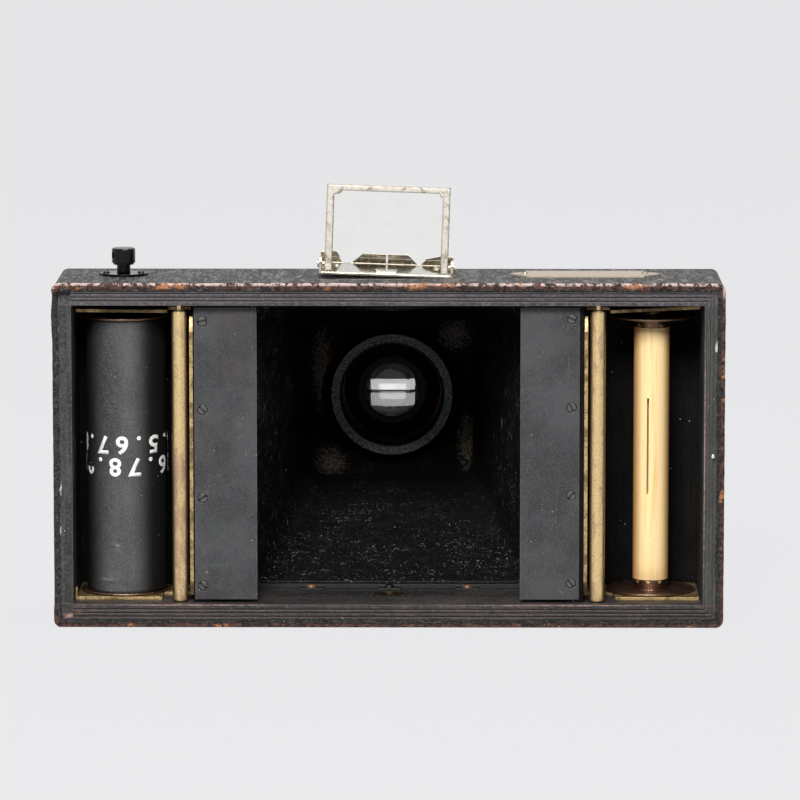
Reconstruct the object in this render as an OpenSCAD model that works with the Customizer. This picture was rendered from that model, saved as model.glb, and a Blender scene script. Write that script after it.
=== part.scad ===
// Roll film camera on folding scissor struts, back cover off, front racked out.
// Frame: +X to the right seen from behind, +Y out through the lens, +Z up.
// The origin is the mouth of the tripod bush, in the middle of the base.
// "Depth" in the names below is measured forward from the rear edge of the case.

/* [Body] */
// Width over the leather
case_w = 226; // [216:1:240]
// Height over the leather
case_h = 117; // [112:1:126]
// Depth of the case, rear edge to front face
case_d = 47; // [46:0.5:54]
// Thickness of the leather covering
leather_t = 0.7; // [0.5:0.1:1]
// Rounding of the four long corners
corner_r = 3; // [2.4:0.1:4]
// Rounding of the rear and front edges
edge_r = 2.6; // [2:0.1:3]
// Top and base boards, leather included
rail_h = 7.6; // [7:0.1:9]
// Right end board, leather included
end_t = 6.8; // [6.7:0.1:8]
// Left end board, leather included
left_end_t = 6.3; // [5.8:0.1:7]
// Front wall, leather included
front_t = 5; // [4:0.1:6]
// Width of the leather turned over the rear edge
turn_in = 2.5; // [2.2:0.1:2.9]
// How far the left end stands back so that the back cover can slide on
end_step = 3; // [2:0.1:3.6]

/* [Light trap] */
// Number of grooves in the rear face
groove_n = 3; // [1:1:3]
// Distance between grooves
groove_pitch = 1.25; // [1.1:0.05:1.3]
// Width of a groove
groove_w = 0.5; // [0.3:0.05:0.6]
// Depth of a groove
groove_d = 0.6; // [0.3:0.05:1]

/* [Picture gate] */
// Width of the picture
gate_w = 88.9; // [86:0.1:92]
// Depth of the film plane below the rear edge
film_plane = 5; // [4:0.1:6]
// Width of a spool chamber
chamber_w = 40.2; // [39.5:0.1:41]
// Thickness of a partition
partition_t = 6; // [5:0.1:6]
// Thickness of a film plate
plate_t = 0.8; // [0.6:0.1:1]
// Bare wood between the left film plate and its partition's outer face
plate_margin = 0.5; // [0.3:0.1:1]
// Bare wood between the right film plate and its partition's outer face
right_plate_margin = 1.6; // [0.3:0.1:1.8]
// Clearance between a film plate and the top and base boards
plate_gap = 1.1; // [0.3:0.1:1.4]
// Number of screws in each film plate
plate_screw_n = 4; // [3:1:5]
// Distance from the screws to the plate's outer edge
plate_screw_in = 2.7; // [2.5:0.1:3.2]
// Height of the lowest screw above the chamber floor
plate_screw_low = 5.8; // [5:0.1:8]
// How much higher the right plate's screws are
right_screw_up = 0.9; // [0:0.1:1.2]

/* [Spools] */
// Clearance between the right spool's flanges and the end board
spool_gap = 1.7; // [0.6:0.1:2]
// Clearance between the left spool's flanges and the end board
left_spool_gap = 1.4; // [0.6:0.1:2]
// Clearance between the flanges and the front wall
spool_front_gap = 1.9; // [1:0.1:3]
// Radius of the wooden core
core_r = 6.1; // [5.6:0.1:6.6]
// Radius of a flange
flange_r = 15.1; // [14:0.1:15.3]
// Thickness of a flange
flange_t = 0.5; // [0.4:0.1:0.7]
// Height of the chamber above and below a spool, taken together
spool_room = 7.2; // [6.9:0.1:9]
// Radius of the wound paper
roll_r = 12.8; // [11:0.1:13]
// Radius where the loose outer turn ends
loose_r = 14.5; // [13.5:0.1:14.6]
// Height of a flange's collar
collar_h = 3.5; // [3:0.1:4.5]
// Prongs round a collar
prong_n = 9; // [6:1:12]
// Length of the slit in the empty core
slit_len = 33; // [25:1:40]
// Width of the slit
slit_w = 0.7; // [0.5:0.1:1]

/* [Guide rollers] */
// Distance of each roller's axis from its partition
roller_out = 4.6; // [4.5:0.1:5.2]
// Depth of the roller's axis
roller_depth = 7.4; // [7:0.1:8]
// Radius of a roller
roller_r = 2.65; // [2.3:0.05:2.9]
// Radius of a roller's journals
roller_pin_r = 1; // [0.8:0.05:1.2]
// Clearance between the roller and the base board
roller_low_gap = 0.6; // [0.4:0.1:1]
// Clearance between the roller and the top board
roller_top_gap = 2.6; // [1.5:0.1:3]

/* [Spool carriers] */
// Thickness of the brass sheet
brass_t = 1; // [0.8:0.1:1.2]
// Depth of the arm's rear edge
arm_rear = 9.6; // [9:0.1:11]
// Clearance between an arm and the front wall
arm_front_gap = 2.5; // [1:0.5:6]
// Depth where the neck starts
neck_rear = 19; // [15:0.5:21]
// Depth where the neck ends
neck_front = 33; // [30:0.5:34]
// Length of the lower neck
neck_len = 11; // [10:0.1:13]
// Length of the upper neck
upper_neck_len = 9; // [8.4:0.1:12]
// Lift of the left top arm, degrees
left_lift = 0.5; // [0:0.1:2.5]
// Lift of the right top arm, degrees
right_lift = 2.7; // [0:0.1:3.2]
// Clearance between the arm and the spool's lower flange
arm_gap = 0.3; // [0.2:0.05:0.5]
// Height of the pin collar above the spool's upper flange
upper_gap = 2.3; // [1.8:0.1:2.4]
// Radius of the pin a spool turns on
spool_pin_r = 2.1; // [1.8:0.1:2.3]

/* [Winding key] */
// Radius of the key's shaft
key_r = 2; // [1.7:0.1:2.2]
// Radius of the key's head
key_head_r = 4; // [3.5:0.1:4.5]
// Height of the key's head
key_head_h = 5; // [4.6:0.1:7]
// Height of the neck between plate and head
key_neck_h = 3.1; // [2.5:0.1:4]
// Radius of the cross hole
key_hole_r = 1.1; // [0.8:0.1:1.4]
// Length of the key's plate
key_plate_l = 16.4; // [15.5:0.1:19]
// Width of the key's plate
key_plate_w = 13.5; // [11:0.1:14]
// Thickness of the key's plate
key_plate_t = 0.8; // [0.6:0.1:1.2]

/* [Name plate] */
// Length from tip to tip
name_l = 50.8; // [45:0.1:56]
// Width
name_w = 16.6; // [13:0.1:18]
// Length of each pointed end
name_tip = 5.4; // [4:0.1:7]
// Thickness
name_t = 0.6; // [0.4:0.1:1]
// Distance of its middle from the right end
name_in = 46.5; // [43:0.5:53]
// How far its middle lies in front of the case's middle
name_forward = 1.5; // [-4:0.5:4]

/* [Finder] */
// Width of the finder's base
finder_w = 45.5; // [44:0.1:50]
// Middle of the finder, from the camera's middle
finder_x = -1; // [-4:0.5:4]
// Bare leather between the finder and the front of the case
finder_front_gap = 1.9; // [1:0.1:3]
// Height of the hinge above the leather
hinge_h = 3.4; // [3.4:0.1:3.8]
// Tilt of the finder, whose left end is sprung up, degrees
finder_roll = 2; // [0:0.1:2.5]
// Width over the frame
frame_w = 41.7; // [40:0.1:43]
// Height of the frame above the hinge
frame_h = 27.1; // [25:0.1:28.5]
// Width of a leg
leg_w = 2.5; // [2:0.1:2.8]
// Depth of a leg
leg_d = 2.4; // [2.2:0.1:2.6]
// Height of the top bar
bar_h = 2; // [1.6:0.1:2.4]
// Thickness of the base's sheet
finder_t = 0.8; // [0.6:0.1:1]
// Height of the notched lip at the front
lip_h = 3.2; // [2.5:0.1:4]
// Height of the ears
ear_h = 5; // [4.6:0.1:6]
// Thickness of the finder's glass
glass_t = 1.4; // [1.2:0.1:1.6]
// Depth of the hollow ground in that glass
hollow_d = 0.7; // [0.3:0.1:0.9]

/* [Leather bag] */
// Distance of the frame that holds the bag's rear edge from the front wall
bag_frame_gap = 9; // [8.8:0.1:11]
// Thickness of that frame
bag_frame_t = 1; // [0.8:0.1:1]
// Room between the bag and the sides of the front opening, for the struts
bag_side_gap = 9; // [8.8:0.1:10]
// Thickness of the bag
bag_t = 0.8; // [0.6:0.1:1]
// Width and height of the opening at the front
bag_mouth = 58.5; // [56:0.5:60]
// Rounding of that opening
bag_mouth_r = 6; // [4:0.5:9]
// Width of the frame round that opening
mouth_rim = 3; // [2:0.1:4]
// Thickness of the frame round that opening
mouth_t = 1.2; // [0.8:0.1:1.6]

/* [Front board] */
// Distance of the board from the case with the front racked out
draw = 84; // [74:0.5:92]
// Thickness of the board
board_t = 8; // [7:0.1:9]
// Clearance between the board and the sides of the front opening
board_side_gap = 8; // [8:0.1:9]
// Clearance between the board and the top and base of the front opening
board_top_gap = 4.5; // [3.5:0.1:6]
// Rounding of the board's corners
board_r = 4; // [2:0.5:6]
// Height of the lens above the middle of the case
lens_rise = 3; // [0:0.5:5]
// Radius of the hole in the board
board_hole_r = 25.4; // [24.5:0.1:28]

/* [Struts] */
// Angle of the bars with the front racked out, degrees
open_angle = 22; // [16:0.5:28]
// Width of a bar
bar_w = 5.2; // [4.4:0.1:5.2]
// Thickness of a bar
bar_t = 1.2; // [1:0.1:1.3]
// Distance of the rear pivots behind the front of the case
pivot_in = 10; // [9.4:0.1:10.2]
// Distance of the front pivots in front of the board's rear face
front_pivot = 6; // [5.5:0.1:6]
// Depth of the lower pivots below the middle of the case
pivot_drop = 22.5; // [18:0.5:26]
// Radius of the strut pins
strut_pin_r = 1.1; // [0.9:0.05:1.2]
// Radius of the rivet heads
rivet_r = 2; // [1.6:0.1:2.2]
// Ledge between the tunnel's side and the front opening
side_ledge = 4; // [3.5:0.1:4.5]
// Ledge between the chamber's floor or ceiling and the front opening
floor_ledge = 1.4; // [1:0.1:2]
// Thickness of the slotted brackets
bracket_t = 1.2; // [1:0.1:1.3]

/* [Shutter and lens] */
// Radius of the shutter case
shutter_r = 31; // [30:0.5:34]
// Depth of the shutter case, front to back
shutter_d = 12.8; // [12:0.1:14]
// Wall of the shutter case
shutter_wall = 1.6; // [1.2:0.1:2]
// Thickness of the shutter's cover
cover_t = 1.2; // [1:0.1:1.6]
// Outer radius of the tube behind the lens
tube_r = 21.9; // [21:0.1:22.5]
// Inner radius of that tube
tube_bore = 18.9; // [18:0.1:19.5]
// Radius of the rear lens cell
rear_cell_r = 12.2; // [11.6:0.1:13]
// Radius of the rear glass
rear_glass_r = 10.2; // [9.5:0.1:10.6]
// Radius of the front cell's barrel
barrel_r = 14; // [13.6:0.1:15]
// Radius of the lens hood
hood_r = 17.5; // [16.5:0.1:19]
// Length of the lens hood
hood_len = 6; // [5:0.5:9]
// Radius of the front glass
front_glass_r = 10.8; // [10:0.1:11.4]
// Radius of the wheel of stops
wheel_r = 17.5; // [17.3:0.1:18.5]
// Distance of the wheel's pivot from the lens axis
wheel_off = 16; // [15.5:0.1:16.5]
// Radius of the shutter leaf
leaf_r = 8.8; // [8.2:0.1:9]
// Distance of the leaf's pivot from the lens axis
leaf_off = 16.8; // [16:0.1:17]
// Radius of the light hole that the leaf covers
light_r = 7.4; // [6.5:0.1:7.6]

/* [Small fittings] */
// Width of the foot under the front board
foot_w = 7; // [5.5:0.5:7]
// Thickness of the foot
foot_t = 1.4; // [1.2:0.1:1.8]
// Length of the foot's toe
foot_toe = 7; // [5:0.5:9]
// Radius of the tripod bush's thread
bush_bore_r = 3.175; // [3.175:0.005:4.8]
// Radius of the tripod bush
bush_r = 5.5; // [5.2:0.1:6.5]
// Radius of the tripod bush's rim
bush_rim_r = 8; // [7.5:0.1:9]
// Radius of the pin that locates the back cover
back_pin_r = 0.9; // [0.7:0.1:1.1]
// Radius of the film plate screws' heads
screw_head_r = 1.8; // [1.6:0.1:2]
// Radius of the film plate screws' shanks
screw_r = 0.8; // [0.6:0.1:0.9]

/* [Hidden] */
$fn = 48;
eps = 0.01;
// Clearance of a pin that turns in a hole
run = 0.08;
// Clearance of a piece that is fitted and stays
fit = 0.04;

// Depths become Y by putting the origin in the middle of the case
function at(depth) = depth - case_d / 2;

mid_z = case_h / 2;
lens_z = mid_z + lens_rise;
floor_z = rail_h;
ceiling_z = case_h - rail_h;
inner_half = case_w / 2 - end_t;
left_half = case_w / 2 - left_end_t;
chamber_d = case_d - front_t;
partition_out = inner_half - chamber_w;
tunnel_half = partition_out - partition_t;
opening_w = 2 * (tunnel_half - side_ledge);
opening_h = ceiling_z - floor_z - 2 * floor_ledge;
spool_x = inner_half - spool_gap - flange_r;
left_spool_x = left_half - left_spool_gap - flange_r;
spool_depth = chamber_d - spool_front_gap - flange_r;
spool_len = ceiling_z - floor_z - spool_room;
roller_x = partition_out + roller_out;
plate_in = gate_w / 2;
plate_back = film_plane + plate_t;
plate_screw_z0 = floor_z + plate_screw_low;
plate_screw_step = (ceiling_z - floor_z - 2 * plate_screw_low) / (plate_screw_n - 1);
groove_in = turn_in + 0.8;
name_x = case_w / 2 - name_in;

arm_z = floor_z + 0.1;
arm_top = arm_z + brass_t;
spool_z0 = arm_top + arm_gap;
spool_z1 = spool_z0 + spool_len;
upper_arm_z = spool_z1 + upper_gap;
arm_side_gap = 0.9;
arm_front = chamber_d - arm_front_gap;
neck_end = partition_out + neck_len;
upper_neck_end = partition_out + upper_neck_len;
spine_in = partition_out;
spine_t = 1.2;

key_top = case_h + key_plate_t;
key_head_z = key_top + key_neck_h;

bag_frame_depth = chamber_d - bag_frame_gap;
bag_w = opening_w - 2 * bag_side_gap;
board_depth = case_d + draw;
board_w = opening_w - 2 * board_side_gap;
board_h = opening_h - 2 * board_top_gap;

// Struts: two crossed pairs of equal bars on each side
rear_pivot = case_d - pivot_in;
pivot_z = mid_z - pivot_drop;
front_pivot_y = at(board_depth + front_pivot);
rear_pivot_y = at(rear_pivot);
reach = front_pivot_y - rear_pivot_y;
bar_len = reach / 2 / cos(open_angle);
rise = bar_len * sin(open_angle);
fold_angle = acos((bar_w + 0.45) / bar_len);
fold_rise = bar_len * sin(fold_angle);
// Planes that the bars lie in, out from the board
inner_plane = board_w / 2 + bracket_t + 0.8;
outer_plane = inner_plane + bar_t + 0.4;
outer_face = outer_plane + bar_t;
bracket_in = opening_w / 2 - bracket_t;
head_t = 0.45;

board_front = board_depth + board_t;
shutter_back = board_front + leather_t;
shutter_front = shutter_back + shutter_d;
// How far the tube's front plate stands into the shutter, and its thickness
tube_in = 8.3;
tube_plate = 1.5;
tube_front = shutter_back + tube_in;
cell_seat = tube_front - tube_plate;
// Steps from the tube's front plate to the wheel, the leaf, the lever and the barrel
wheel_y = tube_front + 0.6;
leaf_y = wheel_y + 1.3;
lever_y = leaf_y + 1.2;
barrel_y = lever_y - 0.1;
barrel_out = 12.3;
hood_front = shutter_front + cover_t + barrel_out;

// Outlines and placing

module round_rect(w, h, r) {
    square([w - 2 * r, h], center = true);
    square([w, h - 2 * r], center = true);
    for (x = [-1, 1], y = [-1, 1])
        translate([x * (w / 2 - r), y * (h / 2 - r)]) circle(r);
}

// Stretches an XZ outline from one depth to another
module along_y(d0, d1) {
    translate([0, at(d1), 0]) rotate([90, 0, 0]) linear_extrude(height = d1 - d0) children();
}

// Stretches a YZ outline from x0 to x1
module along_x(x0, x1) {
    translate([x0, 0, 0]) rotate([90, 0, 90]) linear_extrude(height = x1 - x0) children();
}

module rod_y(r, d0, d1, x, z) {
    translate([x, at(d0), z]) rotate([-90, 0, 0]) cylinder(r = r, h = d1 - d0);
}

module rod_x(r, x0, x1, y, z) {
    translate([x0, y, z]) rotate([0, 90, 0]) cylinder(r = r, h = x1 - x0);
}

module rod_z(r, z0, z1, x, y) {
    translate([x, y, z0]) cylinder(r = r, h = z1 - z0);
}

module block(x0, x1, d0, d1, z0, z1) {
    translate([x0, at(d0), z0]) cube([x1 - x0, d1 - d0, z1 - z0]);
}

module on_left() {
    mirror([1, 0, 0]) children();
}

// Body

// The whole case with its rounded edges, shrunk by the given inset on every side
module case_block(inset) {
    w = case_w - 2 * inset;
    h = case_h - 2 * inset;
    d = case_d - 2 * inset;
    intersection() {
        along_y(inset, case_d - inset)
            translate([0, mid_z]) round_rect(w, h, corner_r - inset);
        translate([0, 0, inset]) linear_extrude(height = h) round_rect(w, d, edge_r - inset);
        along_x(-w / 2, w / 2) translate([0, mid_z]) round_rect(d, h, edge_r - inset);
    }
}

// Grooves that trap light, along the top, the base and the right end
module groove_cuts() {
    for (i = [0 : groove_n - 1]) {
        inset = groove_in + i * groove_pitch;
        difference() {
            block(-left_half, case_w / 2 - inset, -1, leather_t + groove_d, inset, case_h - inset);
            block(-case_w, case_w / 2 - inset - groove_w, -2, leather_t + groove_d + 1,
                inset + groove_w, case_h - inset - groove_w);
        }
    }
}

// The left end stands back from the other three
module end_step_cut() {
    block(-case_w, -left_half, -1, end_step, rail_h - 3, case_h - turn_in - 0.3);
}

module roller_bores() {
    for (x = [-roller_x, roller_x])
        rod_z(roller_pin_r + run, floor_z - 3, ceiling_z + 3, x, at(roller_depth));
}

module top_board() {
    color("#3a3634") difference() {
        intersection() {
            case_block(leather_t);
            block(-case_w, case_w, -1, case_d + 1, ceiling_z, case_h + 1);
        }
        groove_cuts();
        end_step_cut();
        roller_bores();
        rod_z(key_r + run, ceiling_z - 1, case_h + 1, -left_spool_x, at(spool_depth));
        trim_screw_holes();
    }
}

module base_board() {
    color("#3a3634") difference() {
        intersection() {
            case_block(leather_t);
            block(-case_w, case_w, -1, case_d + 1, -1, floor_z);
        }
        groove_cuts();
        end_step_cut();
        roller_bores();
        rod_z(bush_r + fit, -1, floor_z + 1, 0, 0);
        for (x = tab_x) rod_z(screw_r + fit, floor_z - tab_screw_len, floor_z + 1, x, at(tab_screw_depth));
    }
}

module left_end_board() {
    color("#3a3634") difference() {
        intersection() {
            case_block(leather_t);
            block(-case_w, -left_half, -1, case_d + 1, floor_z, ceiling_z);
        }
        end_step_cut();
    }
}

module right_end_board() {
    color("#3a3634") difference() {
        intersection() {
            case_block(leather_t);
            block(inner_half, case_w, -1, case_d + 1, floor_z, ceiling_z);
        }
        groove_cuts();
        rod_y(back_pin_r + fit, 0, 6, back_pin_x, mid_z);
    }
}

module front_panel() {
    color("#3a3634") difference() {
        intersection() {
            case_block(leather_t);
            block(-left_half, inner_half, chamber_d, case_d + 1, floor_z, ceiling_z);
        }
        block(-opening_w / 2, opening_w / 2, 0, case_d + 1, mid_z - opening_h / 2, mid_z + opening_h / 2);
    }
}

module partition(margin, up) {
    difference() {
        block(tunnel_half, partition_out, plate_back, chamber_d, floor_z, ceiling_z);
        for (z = plate_screw_heights(up))
            rod_y(screw_r + fit, plate_back - 1, plate_back + screw_len, plate_screw_x(margin), z);
        for (z = carrier_screw_z)
            rod_x(screw_r + fit, tunnel_half + 1, partition_out + 1, at(carrier_screw_depth), z);
    }
}

module left_partition() {
    color("#2c2a29") on_left() partition(plate_margin, 0);
}

module right_partition() {
    color("#2c2a29") partition(right_plate_margin, right_screw_up);
}

// Leather

base_seam = 3.2;

module leather_skin() {
    difference() {
        case_block(0);
        case_block(leather_t);
        // bare wood inside the turned-in edge
        block(-case_w / 2 + turn_in, case_w / 2 - turn_in, -1, case_d / 2, turn_in, case_h - turn_in);
        end_step_cut();
        block(-opening_w / 2, opening_w / 2, 1, case_d + 1, mid_z - opening_h / 2, mid_z + opening_h / 2);
        rod_z(key_r + run, ceiling_z, case_h + 1, -left_spool_x, at(spool_depth));
        rod_z(bush_rim_r + fit, -1, floor_z, 0, 0);
        trim_screw_holes();
    }
}

module leather_wrap() {
    color("#2f2c2a") difference() {
        leather_skin();
        block(-case_w, case_w, -1, case_d + 1, -1, base_seam);
    }
}

module leather_base() {
    color("#2f2c2a") intersection() {
        leather_skin();
        block(-case_w, case_w, -1, case_d + 1, -1, base_seam);
    }
}

// Film plates

screw_len = 6;

function plate_screw_x(margin) = partition_out - margin - plate_screw_in;
function plate_screw_heights(up) = [
    for (i = [0 : plate_screw_n - 1]) plate_screw_z0 + i * plate_screw_step + up
];

module countersink(r_top, r_low, d, x, z) {
    translate([x, at(d), z]) rotate([-90, 0, 0]) cylinder(r1 = r_top, r2 = r_low, h = plate_t);
}

module film_plate(margin, up) {
    difference() {
        block(plate_in, partition_out - margin, film_plane, plate_back,
            floor_z + plate_gap, ceiling_z - plate_gap);
        for (z = plate_screw_heights(up))
            countersink(screw_head_r + fit, screw_r + 2 * fit, film_plane, plate_screw_x(margin), z);
    }
}

module left_film_plate() {
    color("#4b4b4d") on_left() film_plate(plate_margin, 0);
}

module right_film_plate() {
    color("#4b4b4d") film_plate(right_plate_margin, right_screw_up);
}

// A countersunk wood screw whose slot is turned by the given angle
module plate_screw(x, z, turn) {
    difference() {
        union() {
            countersink(screw_head_r, screw_r, film_plane, x, z);
            rod_y(screw_r, plate_back - eps, plate_back + screw_len - 0.5, x, z);
        }
        translate([x, at(film_plane), z]) rotate([0, turn, 0])
            cube([3 * screw_head_r, 0.7, 0.5], center = true);
    }
}

module film_plate_screws() {
    turns = [50, -50, 65, 20, 10];
    left_turns = [-40, 30, -45, 15, 40];
    left = plate_screw_heights(0);
    right = plate_screw_heights(right_screw_up);
    color("#55524e") for (i = [0 : plate_screw_n - 1]) {
        plate_screw(plate_screw_x(right_plate_margin), right[i], turns[i]);
        on_left() plate_screw(plate_screw_x(plate_margin), left[i], left_turns[i]);
    }
}

// Spool carriers: a spine on the partition, two arms, and the pins the spools turn on

carrier_screw_up = 30;
carrier_screw_z = [mid_z - carrier_screw_up, mid_z + carrier_screw_up];
carrier_screw_depth = 27;
spine_slope = 7;

module neck_outline(end) {
    translate([spine_in, at(neck_rear)]) square([end - spine_in, neck_front - neck_rear]);
}

module arm_outline(end, wall) {
    translate([end, at(arm_rear)]) square([wall - arm_side_gap - end, arm_front - arm_rear]);
}

module spine_outline() {
    low = arm_z;
    high = upper_arm_z + brass_t;
    polygon([
        [at(film_plane + 1), low + spine_slope], [at(film_plane + 3), low + 2], [at(neck_rear), low],
        [at(neck_front), low], [at(neck_front), high], [at(neck_rear), high],
        [at(film_plane + 3), high - 2], [at(film_plane + 1), high - spine_slope]
    ]);
}

module spool_carrier(lift, hole_r, wall, axis_x) {
    difference() {
        union() {
            along_x(spine_in, spine_in + spine_t) spine_outline();
            translate([0, 0, arm_z]) linear_extrude(height = brass_t) {
                neck_outline(neck_end);
                arm_outline(neck_end, wall);
            }
            translate([0, 0, upper_arm_z]) linear_extrude(height = brass_t) neck_outline(upper_neck_end);
            // The upper arm springs up a little from the end of its neck
            translate([upper_neck_end - 0.2, 0, upper_arm_z]) rotate([0, -lift, 0])
                translate([-upper_neck_end + 0.2, 0, 0]) linear_extrude(height = brass_t) difference() {
                    translate([-0.2, 0]) arm_outline(upper_neck_end, wall);
                    if (hole_r > 0) translate([axis_x, at(spool_depth)]) circle(hole_r);
                }
        }
        for (z = carrier_screw_z)
            rod_x(screw_r + fit, spine_in - 1, spine_in + 3, at(carrier_screw_depth), z);
    }
}

module lower_spool_pin(axis_x) {
    rod_z(spool_pin_r, arm_top - eps, arm_top + 5, axis_x, at(spool_depth));
}

module upper_spool_pin() {
    rod_z(spool_pin_r, spool_z1 - 5, upper_arm_z + 0.9, spool_x, at(spool_depth));
    rod_z(spool_pin_r + 1.2, spool_z1 + arm_gap, upper_arm_z + 0.6, spool_x, at(spool_depth));
}

// Small tab turned up at the end of the left lower arm
module arm_tab(wall) {
    out = wall - 0.3;
    tab = 0.7;
    block(out - tab, out, arm_rear, arm_rear + 3, arm_z, arm_top + 3.2);
    block(wall - arm_side_gap - 1, out, arm_rear, arm_rear + 3, arm_z, arm_top);
}

module left_spool_carrier() {
    color("#b49a5a") on_left() {
        spool_carrier(left_lift, key_r + 0.5, left_half, left_spool_x);
        lower_spool_pin(left_spool_x);
        arm_tab(left_half);
    }
}

module right_spool_carrier() {
    color("#b49a5a") {
        spool_carrier(right_lift, 0, inner_half, spool_x);
        lower_spool_pin(spool_x);
        upper_spool_pin();
    }
}

// Spools

core_step = 0.8;
end_bore_r = spool_pin_r + run;
end_bore_d = 8;

module spool_core() {
    translate([0, at(spool_depth), 0]) difference() {
        union() {
            rod_z(core_r, spool_z0 + flange_t + collar_h, spool_z1 - flange_t - collar_h, 0, 0);
            rod_z(core_r - core_step, spool_z0 + flange_t, spool_z1 - flange_t, 0, 0);
        }
        rod_z(end_bore_r, spool_z0, spool_z0 + end_bore_d, 0, 0);
        rod_z(max(end_bore_r, blade_w / 2 + 0.3), spool_z1 - end_bore_d, spool_z1, 0, 0);
    }
}

// A disc with a pronged collar that grips the core; it faces up from z = 0
module flange() {
    collar_in = core_r - core_step + fit;
    difference() {
        union() {
            cylinder(r = flange_r, h = flange_t);
            cylinder(r = core_r - 0.2, h = flange_t + collar_h);
        }
        translate([0, 0, flange_t]) cylinder(r = collar_in, h = collar_h + 1);
        translate([0, 0, -1]) cylinder(r = end_bore_r, h = flange_t + 2);
        for (i = [0 : prong_n - 1]) rotate([0, 0, 360 / prong_n * (i + 0.5)])
            translate([0, 0, flange_t + collar_h + 0.3]) rotate([90, 45, 90])
                translate([0, 0, collar_in - 1]) linear_extrude(height = 3)
                    square(collar_h * 0.62, center = true);
    }
}

module spool_flanges(slotted) {
    y = at(spool_depth);
    translate([0, y, spool_z0]) flange();
    difference() {
        translate([0, y, spool_z1]) mirror([0, 0, 1]) flange();
        if (slotted) translate([0, y, spool_z1])
            cube([blade_w + 0.4, blade_t + 0.4, 3], center = true);
    }
}

blade_w = 4.6;
blade_t = 1;

module take_up_core() {
    color("#d9b878") translate([-left_spool_x, 0, 0]) spool_core();
}

module take_up_flanges() {
    color("#7a6248") translate([-left_spool_x, 0, 0]) spool_flanges(true);
}

// The wound backing paper, with its last turn sprung loose
module film_roll() {
    z0 = spool_z0 + flange_t + 0.15;
    h = spool_len - 2 * flange_t - 0.3;
    steps = 40;
    sweep = 250;
    start = -sweep - 12;
    paper = 0.3;
    function radius(i) = roll_r - paper / 2 + (loose_r - roll_r) * pow(i / steps, 2.4);
    function ray(i, r) = [cos(start + sweep * i / steps) * r, sin(start + sweep * i / steps) * r];
    color("#2b2b2c") translate([-left_spool_x, at(spool_depth), z0]) difference() {
        union() {
            cylinder(r = roll_r, h = h);
            linear_extrude(height = h) polygon([
                for (i = [0 : steps]) ray(i, radius(i)),
                for (i = [steps : -1 : 0]) ray(i, radius(i) + paper)
            ]);
        }
        translate([0, 0, -1]) cylinder(r = core_r + fit, h = h + 2);
    }
}

module supply_core() {
    slit_turn = -13.5;
    slit_z = mid_z + 0.6;
    color("#e3c07e") translate([spool_x, 0, 0]) difference() {
        spool_core();
        translate([0, at(spool_depth), slit_z]) rotate([0, 0, slit_turn]) translate([0, -core_r, 0])
            cube([slit_w, core_r * 1.4, slit_len], center = true);
    }
}

module supply_flanges() {
    color("#7a5a40") translate([spool_x, 0, 0]) spool_flanges(false);
}

// Guide rollers

module guide_roller() {
    y = at(roller_depth);
    rod_z(roller_r, floor_z + roller_low_gap, ceiling_z - roller_top_gap, roller_x, y);
    rod_z(roller_pin_r, floor_z - 2.6, ceiling_z + 2.6, roller_x, y);
    rod_z(roller_r - 0.6, floor_z + 0.25, ceiling_z - roller_top_gap + 0.35, roller_x, y);
}

module left_guide_roller() {
    color("#b8954a") on_left() guide_roller();
}

module right_guide_roller() {
    color("#b8954a") guide_roller();
}

// Winding key, in its own frame with the shaft on Z

module winding_key() {
    color("#1d1d1f") translate([-left_spool_x, at(spool_depth), 0]) difference() {
        union() {
            translate([-blade_w / 2, -blade_t / 2, spool_z1 - 5]) cube([blade_w, blade_t, 6]);
            rod_z(key_r, spool_z1 + arm_gap, key_top + 1, 0, 0);
            rod_z(key_r + 1.1, spool_z1 + arm_gap, upper_arm_z - 0.5, 0, 0);
            rod_z(key_r + 0.3, key_top + 0.1, key_head_z, 0, 0);
            rod_z(key_head_r - 0.5, key_head_z - 0.2, key_head_z + 0.6, 0, 0);
            rod_z(key_head_r, key_head_z + 0.4, key_head_z + key_head_h, 0, 0);
            translate([0, 0, key_head_z + key_head_h])
                cylinder(r1 = key_head_r, r2 = key_head_r - 0.5, h = 0.4);
        }
        translate([0, 0, key_head_z + 0.5 + key_head_h / 2]) rotate([90, 0, -62])
            cylinder(r = key_hole_r, h = 3 * key_head_r, center = true);
    }
}

// A plate bounded by two arcs, pointed at both ends
module lens_outline(l, w) {
    r = (l * l / 4 + w * w / 4) / w;
    intersection_for (s = [-1, 1]) translate([0, s * (r - w / 2)]) circle(r, $fn = 96);
}

key_plate_screw_x = 5.9;

module key_plate() {
    color("#232325") translate([-left_spool_x, at(spool_depth), case_h]) difference() {
        linear_extrude(height = key_plate_t) lens_outline(key_plate_l, key_plate_w);
        translate([0, 0, -1]) cylinder(r = key_r + 0.4, h = 4);
        for (x = [-1, 1]) translate([x * key_plate_screw_x, 0, -1]) cylinder(r = trim_r + fit, h = 4);
    }
}

// Name plate, bare

name_pin_x = name_l / 2 - name_tip + 0.4;
name_depth = case_d / 2 + name_forward;

module name_outline() {
    body = name_l - 2 * name_tip;
    square([body, name_w], center = true);
    for (s = [-1, 1]) intersection() {
        translate([s * (body / 2 - eps), 0]) lens_outline(2 * name_tip, name_w * 0.82);
        translate([s * body / 2 + (s - 1) / 2 * name_tip, -name_w / 2]) square([name_tip, name_w]);
    }
}

module name_plate() {
    color("#b8aa94") translate([name_x, name_forward, case_h]) difference() {
        linear_extrude(height = name_t) name_outline();
        for (s = [-1, 1]) translate([s * name_pin_x, 0, -1]) cylinder(r = trim_r + fit, h = 4);
    }
}

// Small round-headed screws through the fittings on top

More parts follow.
